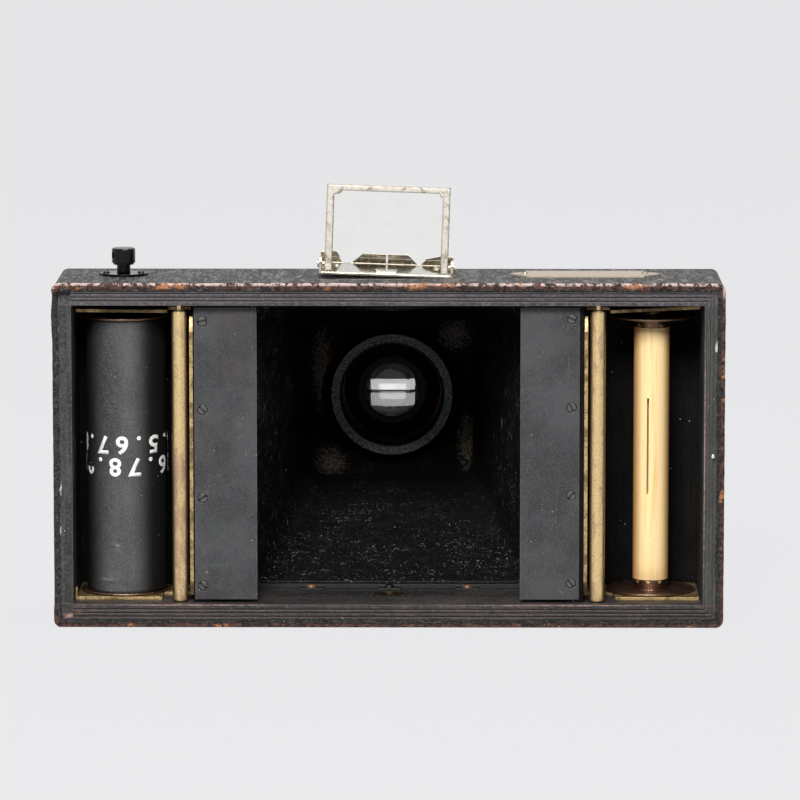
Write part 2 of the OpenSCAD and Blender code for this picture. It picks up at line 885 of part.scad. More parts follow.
trim_r = 0.7;
trim_head_r = 1.3;
trim_len = 4;
finder_screw_x = 17;
finder_screw_depth = 36;
trim_points = [
    [-left_spool_x - key_plate_screw_x, spool_depth, key_plate_t],
    [-left_spool_x + key_plate_screw_x, spool_depth, key_plate_t],
    [name_x - name_pin_x, name_depth, name_t],
    [name_x + name_pin_x, name_depth, name_t]
];
finder_points = [
    [finder_x - finder_screw_x, finder_screw_depth, finder_t],
    [finder_x + finder_screw_x, finder_screw_depth, finder_t]
];

module screw_holes(points) {
    for (p = points) rod_z(trim_r + fit, case_h - trim_len - 0.2, case_h + 3, p[0], at(p[1]));
}

module trim_screw_holes() {
    screw_holes(trim_points);
    on_finder() screw_holes(finder_points);
}

module small_screw(p) {
    translate([p[0], at(p[1]), case_h]) difference() {
        union() {
            translate([0, 0, -trim_len]) cylinder(r = trim_r, h = trim_len + p[2]);
            translate([0, 0, p[2]]) cylinder(r1 = trim_head_r, r2 = trim_head_r - 0.4, h = 0.5);
        }
        translate([0, 0, p[2] + 0.5]) rotate([0, 0, p[0]]) cube([4, 0.35, 0.5], center = true);
    }
}

module trim_screws() {
    color("#8d867a") {
        for (p = trim_points) small_screw(p);
        on_finder() for (p = finder_points) small_screw(p);
    }
}

// Finder

finder_z = case_h + finder_t;
lip_gap = 0.4;
lip_depth = case_d - finder_front_gap - finder_t;
hinge_depth = lip_depth - lip_gap - frame_h;
finder_rear = hinge_depth - 2.2;
hinge_y = at(hinge_depth);
hinge_z = case_h + hinge_h;
foot_below = 2.1;
hinge_pin_r = 0.8;
ear_t = 0.9;
ear_len = 6;
ear_r = 2;
leg_x = frame_w / 2 - leg_w;

// Turns what is on the finder about the lower right edge of its base
module on_finder() {
    translate([finder_x + finder_w / 2, 0, case_h]) rotate([0, finder_roll, 0])
        translate([-finder_x - finder_w / 2, 0, -case_h]) children();
}

// The lip at the front of the base: a split tab in the middle and one at each corner
module lip_outline() {
    half = finder_w / 2;
    split = 0.3;
    polygon([[-12.2, 0], [-8.3, lip_h], [-split, lip_h], [-split, 0.5], [split, 0.5], [split, lip_h],
        [7.2, lip_h], [10.8, 0]]);
    polygon([[-half, 0], [-half, lip_h + 0.6], [-17.8, lip_h + 0.6], [-15.2, 0]]);
    polygon([[half, 0], [half, lip_h], [19, lip_h], [13.6, lip_h - 1.2], [11.4, 0]]);
}

module finder_base() {
    rear = finder_rear;
    front = lip_depth + finder_t;
    color("#c9c4b8") on_finder() translate([finder_x, 0, 0]) difference() {
        union() {
            block(-finder_w / 2, finder_w / 2, rear, front, case_h, finder_z);
            along_y(lip_depth, front) translate([0, finder_z - eps]) lip_outline();
            for (x = [-finder_w / 2, finder_w / 2 - ear_t]) along_x(x, x + ear_t)
                translate([at(rear), finder_z - eps]) {
                    square([ear_len, ear_h - ear_r]);
                    translate([ear_r, 0]) square([ear_len - 2 * ear_r, ear_h]);
                    for (y = [ear_r, ear_len - ear_r]) translate([y, ear_h - ear_r]) circle(ear_r);
                }
            // Leaf spring at the rear
            translate([0, at(rear + 0.6), finder_z - eps]) linear_extrude(height = 0.5 + eps)
                polygon([[-3.3, 0], [3.3, 0], [4, 12], [-4, 12]]);
        }
        rod_x(hinge_pin_r + fit, -finder_w, finder_w, hinge_y, hinge_z);
        for (s = [-1, 1])
            rod_z(trim_r + fit, case_h - 1, finder_z + 1, s * finder_screw_x, at(finder_screw_depth));
    }
}

module finder_hinge_pins() {
    inner = leg_x + 1.1;
    ear = finder_w / 2;
    color("#8d867a") on_finder() translate([finder_x, 0, 0]) for (s = [0, 1]) mirror([s, 0, 0]) {
        rod_x(hinge_pin_r, inner, ear + 0.3, hinge_y, hinge_z);
        rod_x(hinge_pin_r + 0.5, ear, ear + 0.5, hinge_y, hinge_z);
    }
}

// The frame is a channel on three sides, mitred at its upper corners
module finder_frame() {
    half = frame_w / 2;
    color("#c9c0ae") on_finder() translate([finder_x, 0, 0]) difference() {
        translate([0, hinge_y + leg_d / 2, hinge_z]) rotate([90, 0, 0]) linear_extrude(height = leg_d) {
            for (s = [-1, 1]) translate([s * (half - leg_w / 2), (frame_h - foot_below) / 2])
                square([leg_w, frame_h + foot_below], center = true);
            translate([0, frame_h - bar_h / 2]) square([frame_w, bar_h], center = true);
            // Small corner plates beside the glass
            translate([-leg_x, frame_h - bar_h])
                polygon([[-0.4, 0.4], [-0.4, -1.3], [1.6, -1.3], [3.2, 0.4]]);
            translate([leg_x, frame_h - bar_h])
                polygon([[0.4, 0.4], [-1.4, 0.4], [-0.7, -1.3], [0.4, -1.3]]);
        }
        // Groove that holds the glass
        translate([0, hinge_y, hinge_z + glass_z0 + glass_h / 2])
            cube([glass_w + 2 * fit, glass_t + 2 * fit, glass_h + 2 * fit], center = true);
        // Hollow of the channel on the outside
        for (s = [-1, 1]) translate([s * half, hinge_y, hinge_z + frame_h / 2 + 4])
            cube([0.8, leg_d - 1, frame_h - 10], center = true);
        rod_x(hinge_pin_r + run, -finder_w, finder_w, hinge_y, hinge_z);
        // Mitres at the upper corners
        for (s = [-1, 1], y = [-1, 1]) translate([s * half, hinge_y + y * leg_d / 2, hinge_z + frame_h])
            rotate([0, s * 45, 0]) cube([0.16, 0.2, 7], center = true);
    }
}

glass_w = frame_w - 2 * leg_w + 1.4;
glass_z0 = 2.4;
glass_h = frame_h - bar_h - glass_z0 + 0.7;

// Hollowed from corner to corner on the face towards the subject
module finder_lens() {
    n = 8;
    hollow_r = norm([glass_w, glass_h]) / 2 + 0.5;
    color([0.85, 0.9, 0.92, 0.35]) on_finder()
    translate([finder_x, hinge_y, hinge_z + glass_z0 + glass_h / 2]) difference() {
        cube([glass_w, glass_t, glass_h], center = true);
        translate([0, glass_t / 2, 0]) rotate([-90, 0, 0]) rotate_extrude($fn = 96) polygon([
            for (i = [0 : n]) [hollow_r * i / n, hollow_d * (pow(i / n, 2) - 1)],
            [hollow_r, 1], [0, 1]
        ]);
    }
}

// Fittings on the case

back_pin_x = case_w / 2 - turn_in - (end_t - turn_in) * 0.3;

module back_locating_pin() {
    color("#c9c9c9") {
        rod_y(back_pin_r, 0.2, 5.5, back_pin_x, mid_z);
        translate([back_pin_x, at(0.2), mid_z]) sphere(back_pin_r);
    }
}

bush_rim_t = 0.6;

module tripod_bush() {
    color("#b49a5a") difference() {
        union() {
            cylinder(r = bush_rim_r, h = leather_t);
            cylinder(r = bush_r, h = rail_h);
        }
        translate([0, 0, -1]) cylinder(r = bush_bore_r, h = rail_h + 2);
    }
}

// Leather bag and the frames that hold its ends

tab_x = [-26.8, 0, 26.8];
tab_z = floor_z + 0.1;
tab_screw_depth = bag_frame_depth - 2;
bag_top_gap = 1.6;
bag_h = ceiling_z - floor_z - 2 * bag_top_gap;
tab_half = 4;
tab_t = 0.8;
tab_len = 5;
tab_screw_len = 4;

module bag_rear_frame() {
    outer_w = 2 * tunnel_half - 0.2;
    outer_h = ceiling_z - floor_z - 0.2;
    color("#1c1b1b") difference() {
        union() {
            along_y(bag_frame_depth, bag_frame_depth + bag_frame_t) difference() {
                translate([0, mid_z]) square([outer_w, outer_h], center = true);
                translate([0, mid_z]) round_rect(bag_w, bag_h, bag_r);
            }
            for (x = tab_x) block(x - tab_half, x + tab_half, bag_frame_depth - tab_len,
                bag_frame_depth + eps, tab_z, tab_z + tab_t);
        }
        for (x = tab_x) rod_z(screw_r + fit, 0, floor_z + 2, x, at(tab_screw_depth));
    }
}

module interior_screws() {
    color("#a5673e") for (x = tab_x) translate([x, at(tab_screw_depth), tab_z + tab_t]) difference() {
        union() {
            translate([0, 0, -tab_screw_len]) cylinder(r = screw_r, h = tab_screw_len);
            cylinder(r1 = 1.9, r2 = 1.4, h = 0.8);
        }
        translate([0, 0, 0.8]) rotate([0, 0, 30 + x]) cube([5, 0.5, 0.7], center = true);
    }
    color("#a58b55") for (z = carrier_screw_z, s = [0, 1]) mirror([s, 0, 0]) difference() {
        union() {
            rod_x(screw_r, partition_out - 4, spine_in + spine_t, at(carrier_screw_depth), z);
            rod_x(1.7, spine_in + spine_t, spine_in + spine_t + 0.7, at(carrier_screw_depth), z);
        }
        translate([spine_in + spine_t + 0.7, at(carrier_screw_depth), z]) cube([0.7, 0.5, 5], center = true);
    }
}

bag_end = board_depth - 0.3;
bag_r = 4;
bag_front_w = bag_mouth + 2 * mouth_rim + 0.3;

module bag_slab(w, h, r, z, d, t) {
    along_y(d, d + t) translate([0, z]) round_rect(w, h, r);
}

module bag_solid(grow, overshoot) {
    hull() {
        bag_slab(bag_w + 2 * grow, bag_h + 2 * grow, bag_r + grow, mid_z,
            bag_frame_depth + bag_frame_t - overshoot, 0.1, $fn = 24);
        bag_slab(bag_front_w + 2 * grow, bag_front_w + 2 * grow, bag_mouth_r + mouth_rim + grow, lens_z,
            bag_end - 0.1 + overshoot, 0.1, $fn = 24);
    }
}

module bag() {
    color("#1a1919") difference() {
        bag_solid(bag_t, 0);
        bag_solid(0, 0.05);
    }
}

module bag_front_frame() {
    outer = bag_mouth + 2 * mouth_rim;
    color("#2a2522") along_y(board_depth - mouth_t, board_depth) translate([0, lens_z]) difference() {
        round_rect(outer, outer, bag_mouth_r + mouth_rim - 0.2);
        round_rect(bag_mouth, bag_mouth, bag_mouth_r);
    }
}

// Struts

// Outline of a bar in the YZ plane, from one pivot to another
module bar_outline(p, q) {
    a = atan2(q[1] - p[1], q[0] - p[0]);
    translate(p) rotate(a) {
        circle(bar_w / 2);
        translate([0, -bar_w / 2]) square([bar_len, bar_w]);
        translate([bar_len, 0]) circle(bar_w / 2);
    }
}

rear_low = [rear_pivot_y, pivot_z];
rear_high = [rear_pivot_y, pivot_z + rise];
mid_low = [rear_pivot_y + reach / 2, pivot_z];
mid_high = [rear_pivot_y + reach / 2, pivot_z + rise];
front_low = [front_pivot_y, pivot_z];
front_high = [front_pivot_y, pivot_z + rise];
rear_cross = (rear_low + mid_high) / 2;
front_cross = (mid_low + front_high) / 2;

// A rivet through both planes of bars, headed on both sides
module cross_rivet(p, from_x) {
    rod_x(strut_pin_r, inner_plane - 0.1, outer_face + 0.1, p[0], p[1]);
    if (from_x < outer_plane) {
        rod_x(rivet_r, outer_face + 0.05, outer_face + 0.05 + head_t, p[0], p[1]);
        rod_x(rivet_r, inner_plane - 0.35, inner_plane, p[0], p[1]);
    } else {
        rod_x(rivet_r, inner_plane - 0.4, inner_plane - 0.05, p[0], p[1]);
        rod_x(rivet_r, outer_face, outer_face + head_t, p[0], p[1]);
    }
}

module strut_bar(p, q, plane, holes) {
    difference() {
        along_x(plane, plane + bar_t) bar_outline(p, q);
        for (h = holes) rod_x(strut_pin_r + run, plane - 1, plane + bar_t + 1, h[0], h[1]);
    }
}

// Rises from the rear bracket to the middle; carries the rivets at its crossing and its end
module rear_riser() {
    strut_bar(rear_low, mid_high, inner_plane, [rear_low]);
    cross_rivet(rear_cross, inner_plane);
    cross_rivet(mid_high, inner_plane);
}

// Falls from the rear slot to the middle; carries the pin in the slot and the rivet at its end
module rear_faller() {
    strut_bar(rear_high, mid_low, outer_plane, [rear_cross]);
    cross_rivet(mid_low, outer_plane);
    rod_x(strut_pin_r, outer_plane + 0.1, opening_w / 2 - 0.15, rear_high[0], rear_high[1]);
}

// Falls from the middle to the front bracket; carries the rivet at its crossing
module front_faller() {
    strut_bar(mid_high, front_low, outer_plane, [mid_high, front_low]);
    cross_rivet(front_cross, outer_plane);
}

// Rises from the middle to the front slot; carries the pin in the slot
module front_riser() {
    strut_bar(mid_low, front_high, inner_plane, [mid_low, front_cross]);
    rod_x(strut_pin_r, board_w / 2 + 0.15, inner_plane + 0.1, front_high[0], front_high[1]);
}

module bracket_slot(y, x0, x1) {
    slot_r = strut_pin_r + run;
    along_x(x0, x1) {
        translate([y - slot_r, pivot_z + rise]) square([2 * slot_r, fold_rise - rise]);
        translate([y, pivot_z + rise]) circle(slot_r);
        translate([y, pivot_z + fold_rise]) circle(slot_r);
    }
}

bracket_low = pivot_z - 5;
bracket_high = pivot_z + fold_rise + 4;

// Slotted bracket inside the case's front opening, with the rear pivot
module strut_bracket() {
    d0 = bag_frame_depth + bag_frame_t + 0.1;
    d1 = case_d - 0.6;
    difference() {
        block(bracket_in, opening_w / 2, d0, d1, bracket_low, bracket_high);
        bracket_slot(rear_pivot_y, bracket_in - 1, opening_w / 2 + 1);
    }
    rod_x(strut_pin_r, inner_plane - 0.1, bracket_in + 0.5, rear_low[0], rear_low[1]);
    rod_x(strut_pin_r + 0.7, outer_plane - 0.1, bracket_in + 0.1, rear_low[0], rear_low[1]);
    rod_x(rivet_r, inner_plane - 0.4, inner_plane - 0.05, rear_low[0], rear_low[1]);
}

// Slotted bracket on the edge of the front board, with the front pivot
module front_bracket() {
    x0 = board_w / 2;
    difference() {
        block(x0, x0 + bracket_t, board_depth, board_front, bracket_low, bracket_high);
        bracket_slot(front_pivot_y, x0 - 1, x0 + bracket_t + 1);
    }
    rod_x(strut_pin_r, x0 + 0.5, outer_face + 0.1, front_low[0], front_low[1]);
    rod_x(strut_pin_r + 0.7, x0 + bracket_t - 0.1, outer_plane - 0.1, front_low[0], front_low[1]);
    rod_x(rivet_r, outer_face + 0.05, outer_face + 0.05 + head_t, front_low[0], front_low[1]);
}

module left_strut_bracket() { color("#bdb6a6") on_left() strut_bracket(); }
module right_strut_bracket() { color("#bdb6a6") strut_bracket(); }
module left_front_bracket() { color("#bdb6a6") on_left() front_bracket(); }
module right_front_bracket() { color("#bdb6a6") front_bracket(); }
module left_strut_rear_riser() { color("#bdb6a6") on_left() rear_riser(); }
module left_strut_rear_faller() { color("#bdb6a6") on_left() rear_faller(); }
module left_strut_front_faller() { color("#bdb6a6") on_left() front_faller(); }
module left_strut_front_riser() { color("#bdb6a6") on_left() front_riser(); }
module right_strut_rear_riser() { color("#bdb6a6") rear_riser(); }
module right_strut_rear_faller() { color("#bdb6a6") rear_faller(); }
module right_strut_front_faller() { color("#bdb6a6") front_faller(); }
module right_strut_front_riser() { color("#bdb6a6") front_riser(); }

// Front board, shutter and lens

module front_outline() {
    difference() {
        translate([0, mid_z]) round_rect(board_w, board_h, board_r);
        translate([0, lens_z]) circle(board_hole_r);
    }
}

foot_pin_r = 1.5;
foot_pin_len = 5.5;
foot_up = 4.2;
foot_z = mid_z - board_h / 2 + foot_up;

module foot_bore() {
    rod_y(foot_pin_r + run, board_front - foot_pin_len - 0.5, shutter_back + 1, 0, foot_z);
}

module front_board() {
    color("#4a372b") difference() {
        along_y(board_depth, board_front) front_outline();
        foot_bore();
    }
}

module front_leather() {
    color("#2f2c2a") difference() {
        along_y(board_front, shutter_back) front_outline();
        foot_bore();
    }
}

// A foot that swings down from the board so that the camera stands with its front out
module front_foot() {
    d0 = shutter_back + 0.3;
    d1 = d0 + foot_t;
    color("#c9c4b8") {
        rod_y(foot_pin_r, board_front - foot_pin_len, d1, 0, foot_z);
        rod_y(foot_w / 2, d0, d1, 0, foot_z);
        rod_y(foot_pin_r + 0.8, d1 - eps, d1 + 0.5, 0, foot_z);
        block(-foot_w / 2, foot_w / 2, d0, d1, 0, foot_z);
        block(-foot_w, foot_w, d0, d0 + foot_toe, 0, foot_t);
    }
}

lever_x = -25;
lever_z = lens_z - 6;
lever_pin_r = 1.2;
// The notch that the release lever swings in, measured down from the lens axis
notch_low = 22;
notch_high = 4;

module shutter_case() {
    inner = shutter_r - shutter_wall;
    color("#202022") {
        difference() {
            rod_y(shutter_r, shutter_back, shutter_front, 0, lens_z);
            rod_y(inner, shutter_back + 1.2, shutter_front + 1, 0, lens_z);
            rod_y(tube_r + fit, shutter_back - 1, shutter_front, 0, lens_z);
            // Slot that the wheel of stops stands out through
            block(shutter_r - 12, shutter_r + 2, wheel_y - 0.5, wheel_y + 1.1,
                lens_z - wheel_r - 0.5, lens_z + wheel_r + 0.5);
            // Notch that the release lever swings in
            block(-shutter_r - 2, -inner + 5, lever_y - 0.3, shutter_front + 1,
                lens_z - notch_low, lens_z - notch_high);
        }
        rod_y(lever_pin_r, shutter_back + 1, shutter_front - 0.3, lever_x, lever_z);
    }
}

// Cover with a raised rim and plain marks for the stops and the lever
module shutter_cover() {
    front = shutter_front + cover_t;
    color("#b9ac8e") difference() {
        union() {
            rod_y(shutter_r, shutter_front, front, 0, lens_z);
            rod_y(barrel_r + 5, front - eps, front + 0.5, 0, lens_z);
        }
        rod_y(barrel_r - 1 + fit, shutter_front - 1, front + 2, 0, lens_z);
        for (i = [-3 : 3]) translate([0, at(front), lens_z]) rotate([0, 90 + i * 9, 0])
            translate([0, 0, shutter_r - 4.5]) cube([0.5, 0.5, abs(i) % 3 == 0 ? 3.4 : 2], center = true);
        for (a = [45 : 90 : 315]) translate([0, at(front), lens_z]) rotate([0, a, 0])
            translate([0, 0, shutter_r - 3]) rotate([90, 0, 0]) cylinder(r = 1.5, h = 1, center = true);
    }
}

wheel_pin_r = 1.5;
leaf_pin_r = 1.2;

// Tube behind the lens; its front plate carries the rear cell and two pivots
module lens_tube() {
    color("#4d4f50") {
        difference() {
            rod_y(tube_r, board_depth, tube_front, 0, lens_z);
            rod_y(tube_bore, board_depth - 1, board_depth + 5, 0, lens_z);
            rod_y(tube_bore - 1.1, board_depth, cell_seat, 0, lens_z);
            rod_y(light_r, board_depth, tube_front + 1, 0, lens_z);
        }
        rod_y(wheel_pin_r, tube_front - 0.1, wheel_y + 1, wheel_off, lens_z);
        rod_y(leaf_pin_r, tube_front - 0.1, leaf_y + 0.9, 0, lens_z + leaf_off);
    }
}

cell_len = 3.4;

module rear_lens_cell() {
    color("#2a2827") translate([0, at(cell_seat), lens_z]) rotate([90, 0, 0]) difference() {
        union() {
            cylinder(r = rear_cell_r, h = cell_len - 0.6);
            cylinder(r = rear_cell_r - 0.7, h = cell_len);
        }
        translate([0, 0, 0.8]) cylinder(r = rear_glass_r + fit, h = cell_len);
        translate([0, 0, -1]) cylinder(r = light_r + 0.6, h = cell_len);
    }
}

// A glass of the given radius and edge, bulging in front and behind
module glass(r, edge, front_bulge, rear_bulge) {
    n = 8;
    rotate([-90, 0, 0]) rotate_extrude() polygon([
        for (i = [0 : n]) [r * i / n, edge / 2 + front_bulge * (1 - pow(i / n, 2))],
        for (i = [n : -1 : 0]) [r * i / n, -edge / 2 - rear_bulge * (1 - pow(i / n, 2))]
    ]);
}

module rear_lens() {
    color([0.85, 0.9, 0.92, 0.35]) translate([0, at(cell_seat - 1.6), lens_z])
        glass(rear_glass_r, 1, 0.8, 1.3);
}

// Distance of the front glass behind the hood's rim
glass_in = 6;

// Turned barrel: a seat in the cover, a flange, a waist and a hood
module front_lens_cell() {
    y0 = barrel_y;
    cover = shutter_front + cover_t + 0.5;
    color("#b08d4c") translate([0, 0, lens_z]) rotate([-90, 0, 0]) rotate_extrude($fn = 96) polygon([
        [front_glass_r - 1, at(y0)], [barrel_r - 1, at(y0)], [barrel_r - 1, at(cover)],
        [barrel_r + 2.6, at(cover)], [barrel_r + 2.6, at(cover + 1.4)], [barrel_r, at(cover + 1.9)],
        [barrel_r, at(hood_front - hood_len - 1)], [hood_r, at(hood_front - hood_len)],
        [hood_r, at(hood_front)], [hood_r - 1.2, at(hood_front)],
        [front_glass_r + 2, at(hood_front - glass_in + 1.8)],
        [front_glass_r + fit, at(hood_front - glass_in + 1.4)],
        [front_glass_r + fit, at(hood_front - glass_in - 1.4)],
        [front_glass_r - 1, at(hood_front - glass_in - 1.8)]
    ]);
}

module front_lens() {
    color([0.85, 0.9, 0.92, 0.35]) translate([0, at(hood_front - glass_in), lens_z])
        glass(front_glass_r, 2, 1.7, 0.8);
}

stop_r = [6.6, 4.6, 3.2, 2.2];

// Wheel with four stops, milled round the edge that the finger turns
module stop_wheel() {
    teeth = 48;
    color("#b08d4c") translate([wheel_off, 0, lens_z]) difference() {
        rod_y(wheel_r, wheel_y, wheel_y + 0.6, 0, 0);
        rod_y(wheel_pin_r + run, wheel_y - 1, wheel_y + 2, 0, 0);
        for (i = [0 : 3]) rotate([0, 90 * i, 0])
            rod_y(stop_r[i], wheel_y - 1, wheel_y + 2, -wheel_off, 0);
        for (i = [0 : teeth - 1]) rotate([0, 360 / teeth * i, 0])
            translate([wheel_r, at(wheel_y), 0]) rotate([0, 45, 0]) cube([0.6, 3, 0.6], center = true);
    }
}

module shutter_leaf() {
    color("#2a2827") difference() {
        union() {
            rod_y(leaf_r, leaf_y, leaf_y + 0.5, 0, lens_z);
            block(-2.4, 2.4, leaf_y, leaf_y + 0.5, lens_z, lens_z + leaf_off);
            rod_y(3, leaf_y, leaf_y + 0.5, 0, lens_z + leaf_off);
        }
        rod_y(leaf_pin_r + run, leaf_y - 1, leaf_y + 2, 0, lens_z + leaf_off);
    }
}

lever_len = 16;
lever_droop = 22;

module release_lever() {
    color("#c9c4b8") translate([lever_x, 0, lever_z]) rotate([0, -lever_droop, 0]) difference() {
        union() {
            rod_y(2.4, lever_y, lever_y + 0.9, 0, 0);
            block(-lever_len, 0, lever_y, lever_y + 0.9, -1.7, 1.7);
            rod_y(3.4, lever_y, lever_y + 0.9, -lever_len, 0);
        }
        rod_y(lever_pin_r + run, lever_y - 1, lever_y + 2, 0, 0);
    }
}

top_board();
base_board();
left_end_board();
right_end_board();
front_panel();
left_partition();
right_partition();
leather_wrap();
leather_base();
left_film_plate();
right_film_plate();
film_plate_screws();
left_spool_carrier();
right_spool_carrier();
key_plate();
trim_screws();
name_plate();
finder_base();
finder_hinge_pins();
back_locating_pin();
tripod_bush();
bag_rear_frame();
interior_screws();
bag();
left_strut_bracket();
right_strut_bracket();
take_up_core();
take_up_flanges();
film_roll();
winding_key();
supply_core();
supply_flanges();
left_guide_roller();
right_guide_roller();
finder_frame();
finder_lens();
left_strut_rear_riser();
left_strut_rear_faller();
left_strut_front_faller();
left_strut_front_riser();
right_strut_rear_riser();
right_strut_rear_faller();
right_strut_front_faller();
right_strut_front_riser();
front_board();
front_leather();
left_front_bracket();
right_front_bracket();
bag_front_frame();
shutter_case();
shutter_cover();
lens_tube();
rear_lens_cell();
rear_lens();
front_lens_cell();
front_lens();
stop_wheel();
shutter_leaf();
release_lever();
front_foot();
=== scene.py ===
import math

import bpy
import bmesh
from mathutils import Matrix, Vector, noise


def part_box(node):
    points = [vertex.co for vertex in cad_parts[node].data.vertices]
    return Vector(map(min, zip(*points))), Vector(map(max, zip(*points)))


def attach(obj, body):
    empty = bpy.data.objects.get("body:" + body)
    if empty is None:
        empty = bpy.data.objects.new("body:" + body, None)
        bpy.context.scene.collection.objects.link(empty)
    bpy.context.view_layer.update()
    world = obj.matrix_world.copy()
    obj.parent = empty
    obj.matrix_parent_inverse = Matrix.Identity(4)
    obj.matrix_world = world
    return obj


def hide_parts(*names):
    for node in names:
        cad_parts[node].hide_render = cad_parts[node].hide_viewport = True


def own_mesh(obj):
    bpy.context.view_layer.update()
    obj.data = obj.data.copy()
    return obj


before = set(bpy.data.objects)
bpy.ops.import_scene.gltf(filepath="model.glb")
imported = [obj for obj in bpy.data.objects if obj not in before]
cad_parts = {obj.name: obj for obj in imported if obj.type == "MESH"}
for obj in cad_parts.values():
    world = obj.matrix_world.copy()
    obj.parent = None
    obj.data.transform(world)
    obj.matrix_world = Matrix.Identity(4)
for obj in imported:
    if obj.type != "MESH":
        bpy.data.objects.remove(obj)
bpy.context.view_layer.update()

MM = 0.001
scene = bpy.context.scene


def box_mm(node):
    """Lowest and highest corner of a CAD node, in millimetres"""
    low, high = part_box(node)
    return low / MM, high / MM


# Camera, floor and light

def make_camera():
    """The photograph's view: from behind, a little above and a little from the right"""
    target = Vector((0, -23.5, 56.9)) * MM
    target_pixel = (388.4, 461)
    picture = 800
    focal_pixels = 5346
    towards_camera = Vector((0.00967, -0.98889, 0.14833)).normalized()
    distance = 1.8
    sensor = 36
    place = target + towards_camera * distance
    right = (-towards_camera).cross(Vector((0, 0, 1))).normalized()
    up = right.cross(-towards_camera)
    off_right = picture / 2 - target_pixel[0]
    off_up = target_pixel[1] - picture / 2
    aim = target + distance / focal_pixels * (off_right * right + off_up * up)
    data = bpy.data.cameras.new("photo_view")
    data.sensor_width = sensor
    data.lens = focal_pixels / picture * sensor
    data.clip_start = 0.05
    data.clip_end = 40
    camera = bpy.data.objects.new("photo_view", data)
    camera.location = place
    camera.rotation_euler = (aim - place).to_track_quat("-Z", "Y").to_euler()
    scene.collection.objects.link(camera)
    scene.camera = camera


def soft_light(name, place, aim, width, height, power):
    """An area light at place, in metres, that shines towards aim"""
    data = bpy.data.lights.new(name, "AREA")
    data.shape = "RECTANGLE"
    data.size = width
    data.size_y = height
    data.energy = power
    light = bpy.data.objects.new(name, data)
    light.location = place
    light.rotation_euler = (Vector(aim) - Vector(place)).to_track_quat("-Z", "Y").to_euler()
    scene.collection.objects.link(light)


def make_studio():
    """A pale floor, a pale surround and soft lights; the surround is dim behind the camera"""
    pale = (0.791, 0.791, 0.807)
    reach = 9
    corners = [(-reach, -reach, 0), (reach, -reach, 0), (reach, reach, 0), (-reach, reach, 0)]
    mesh = bpy.data.meshes.new("floor")
    mesh.from_pydata(corners, [], [(0, 1, 2, 3)])
    floor = bpy.data.objects.new("floor", mesh)
    scene.collection.objects.link(floor)
    g = Finish("floor_paper", Base_Color=grey(0.03), Roughness=1.0, Specular_IOR_Level=0.0,
                   Emission_Strength=1.0)
    path = g.add("ShaderNodeLightPath").outputs
    depth = g.along("Y")
    sweep = g.ramp(depth, 0.3, 0.9, 0.6, 0.79)
    # The lens's polished glass mirrors a bright table and wall behind the camera, a dark line between them
    table_light = 4.2
    wall_light = 6.5
    table = g.ramp(depth, -0.03, -0.035, 0.0, table_light)
    wall = g.ramp(depth, -0.34, -0.35, 0.0, wall_light)
    line = g.ramp(g.math("ABSOLUTE", g.plus(depth, 0.285)), 0.05, 0.06)
    mirrored = g.times(g.math("MAXIMUM", table, wall), line)
    sweep = g.mix(path["Is Singular Ray"], sweep, g.plus(mirrored, g.times(sweep, 0.15)))
    g.join(g.mix(path["Is Camera Ray"], sweep, (0.765, 0.765, 0.781)), g.shader["Emission Color"])
    floor.data.materials.append(g.material)
    world = bpy.data.worlds.new("surround")
    world.use_nodes = True
    g = Graph(world.node_tree)
    direction = g.split(g.add("ShaderNodeTexCoord").outputs["Generated"])
    level = g.plus(g.ramp(direction["Y"], -0.2, 0.35, 0.06, 0.75),
                   g.ramp(direction["Z"], 0.35, 1.0, 0.0, 0.3))
    seen = g.add("ShaderNodeLightPath").outputs["Is Camera Ray"]
    g.join(g.mix(seen, level, pale), world.node_tree.nodes["Background"].inputs["Color"])
    scene.world = world
    scene.view_settings.view_transform = "Standard"
    middle = (0, 0, 0.06)
    soft_light("key_light", (-0.25, -1.9, 1.35), middle, width=0.8, height=0.6, power=66)
    soft_light("top_light", (0.1, -0.1, 1.5), middle, width=0.9, height=0.6, power=14)


# Node trees

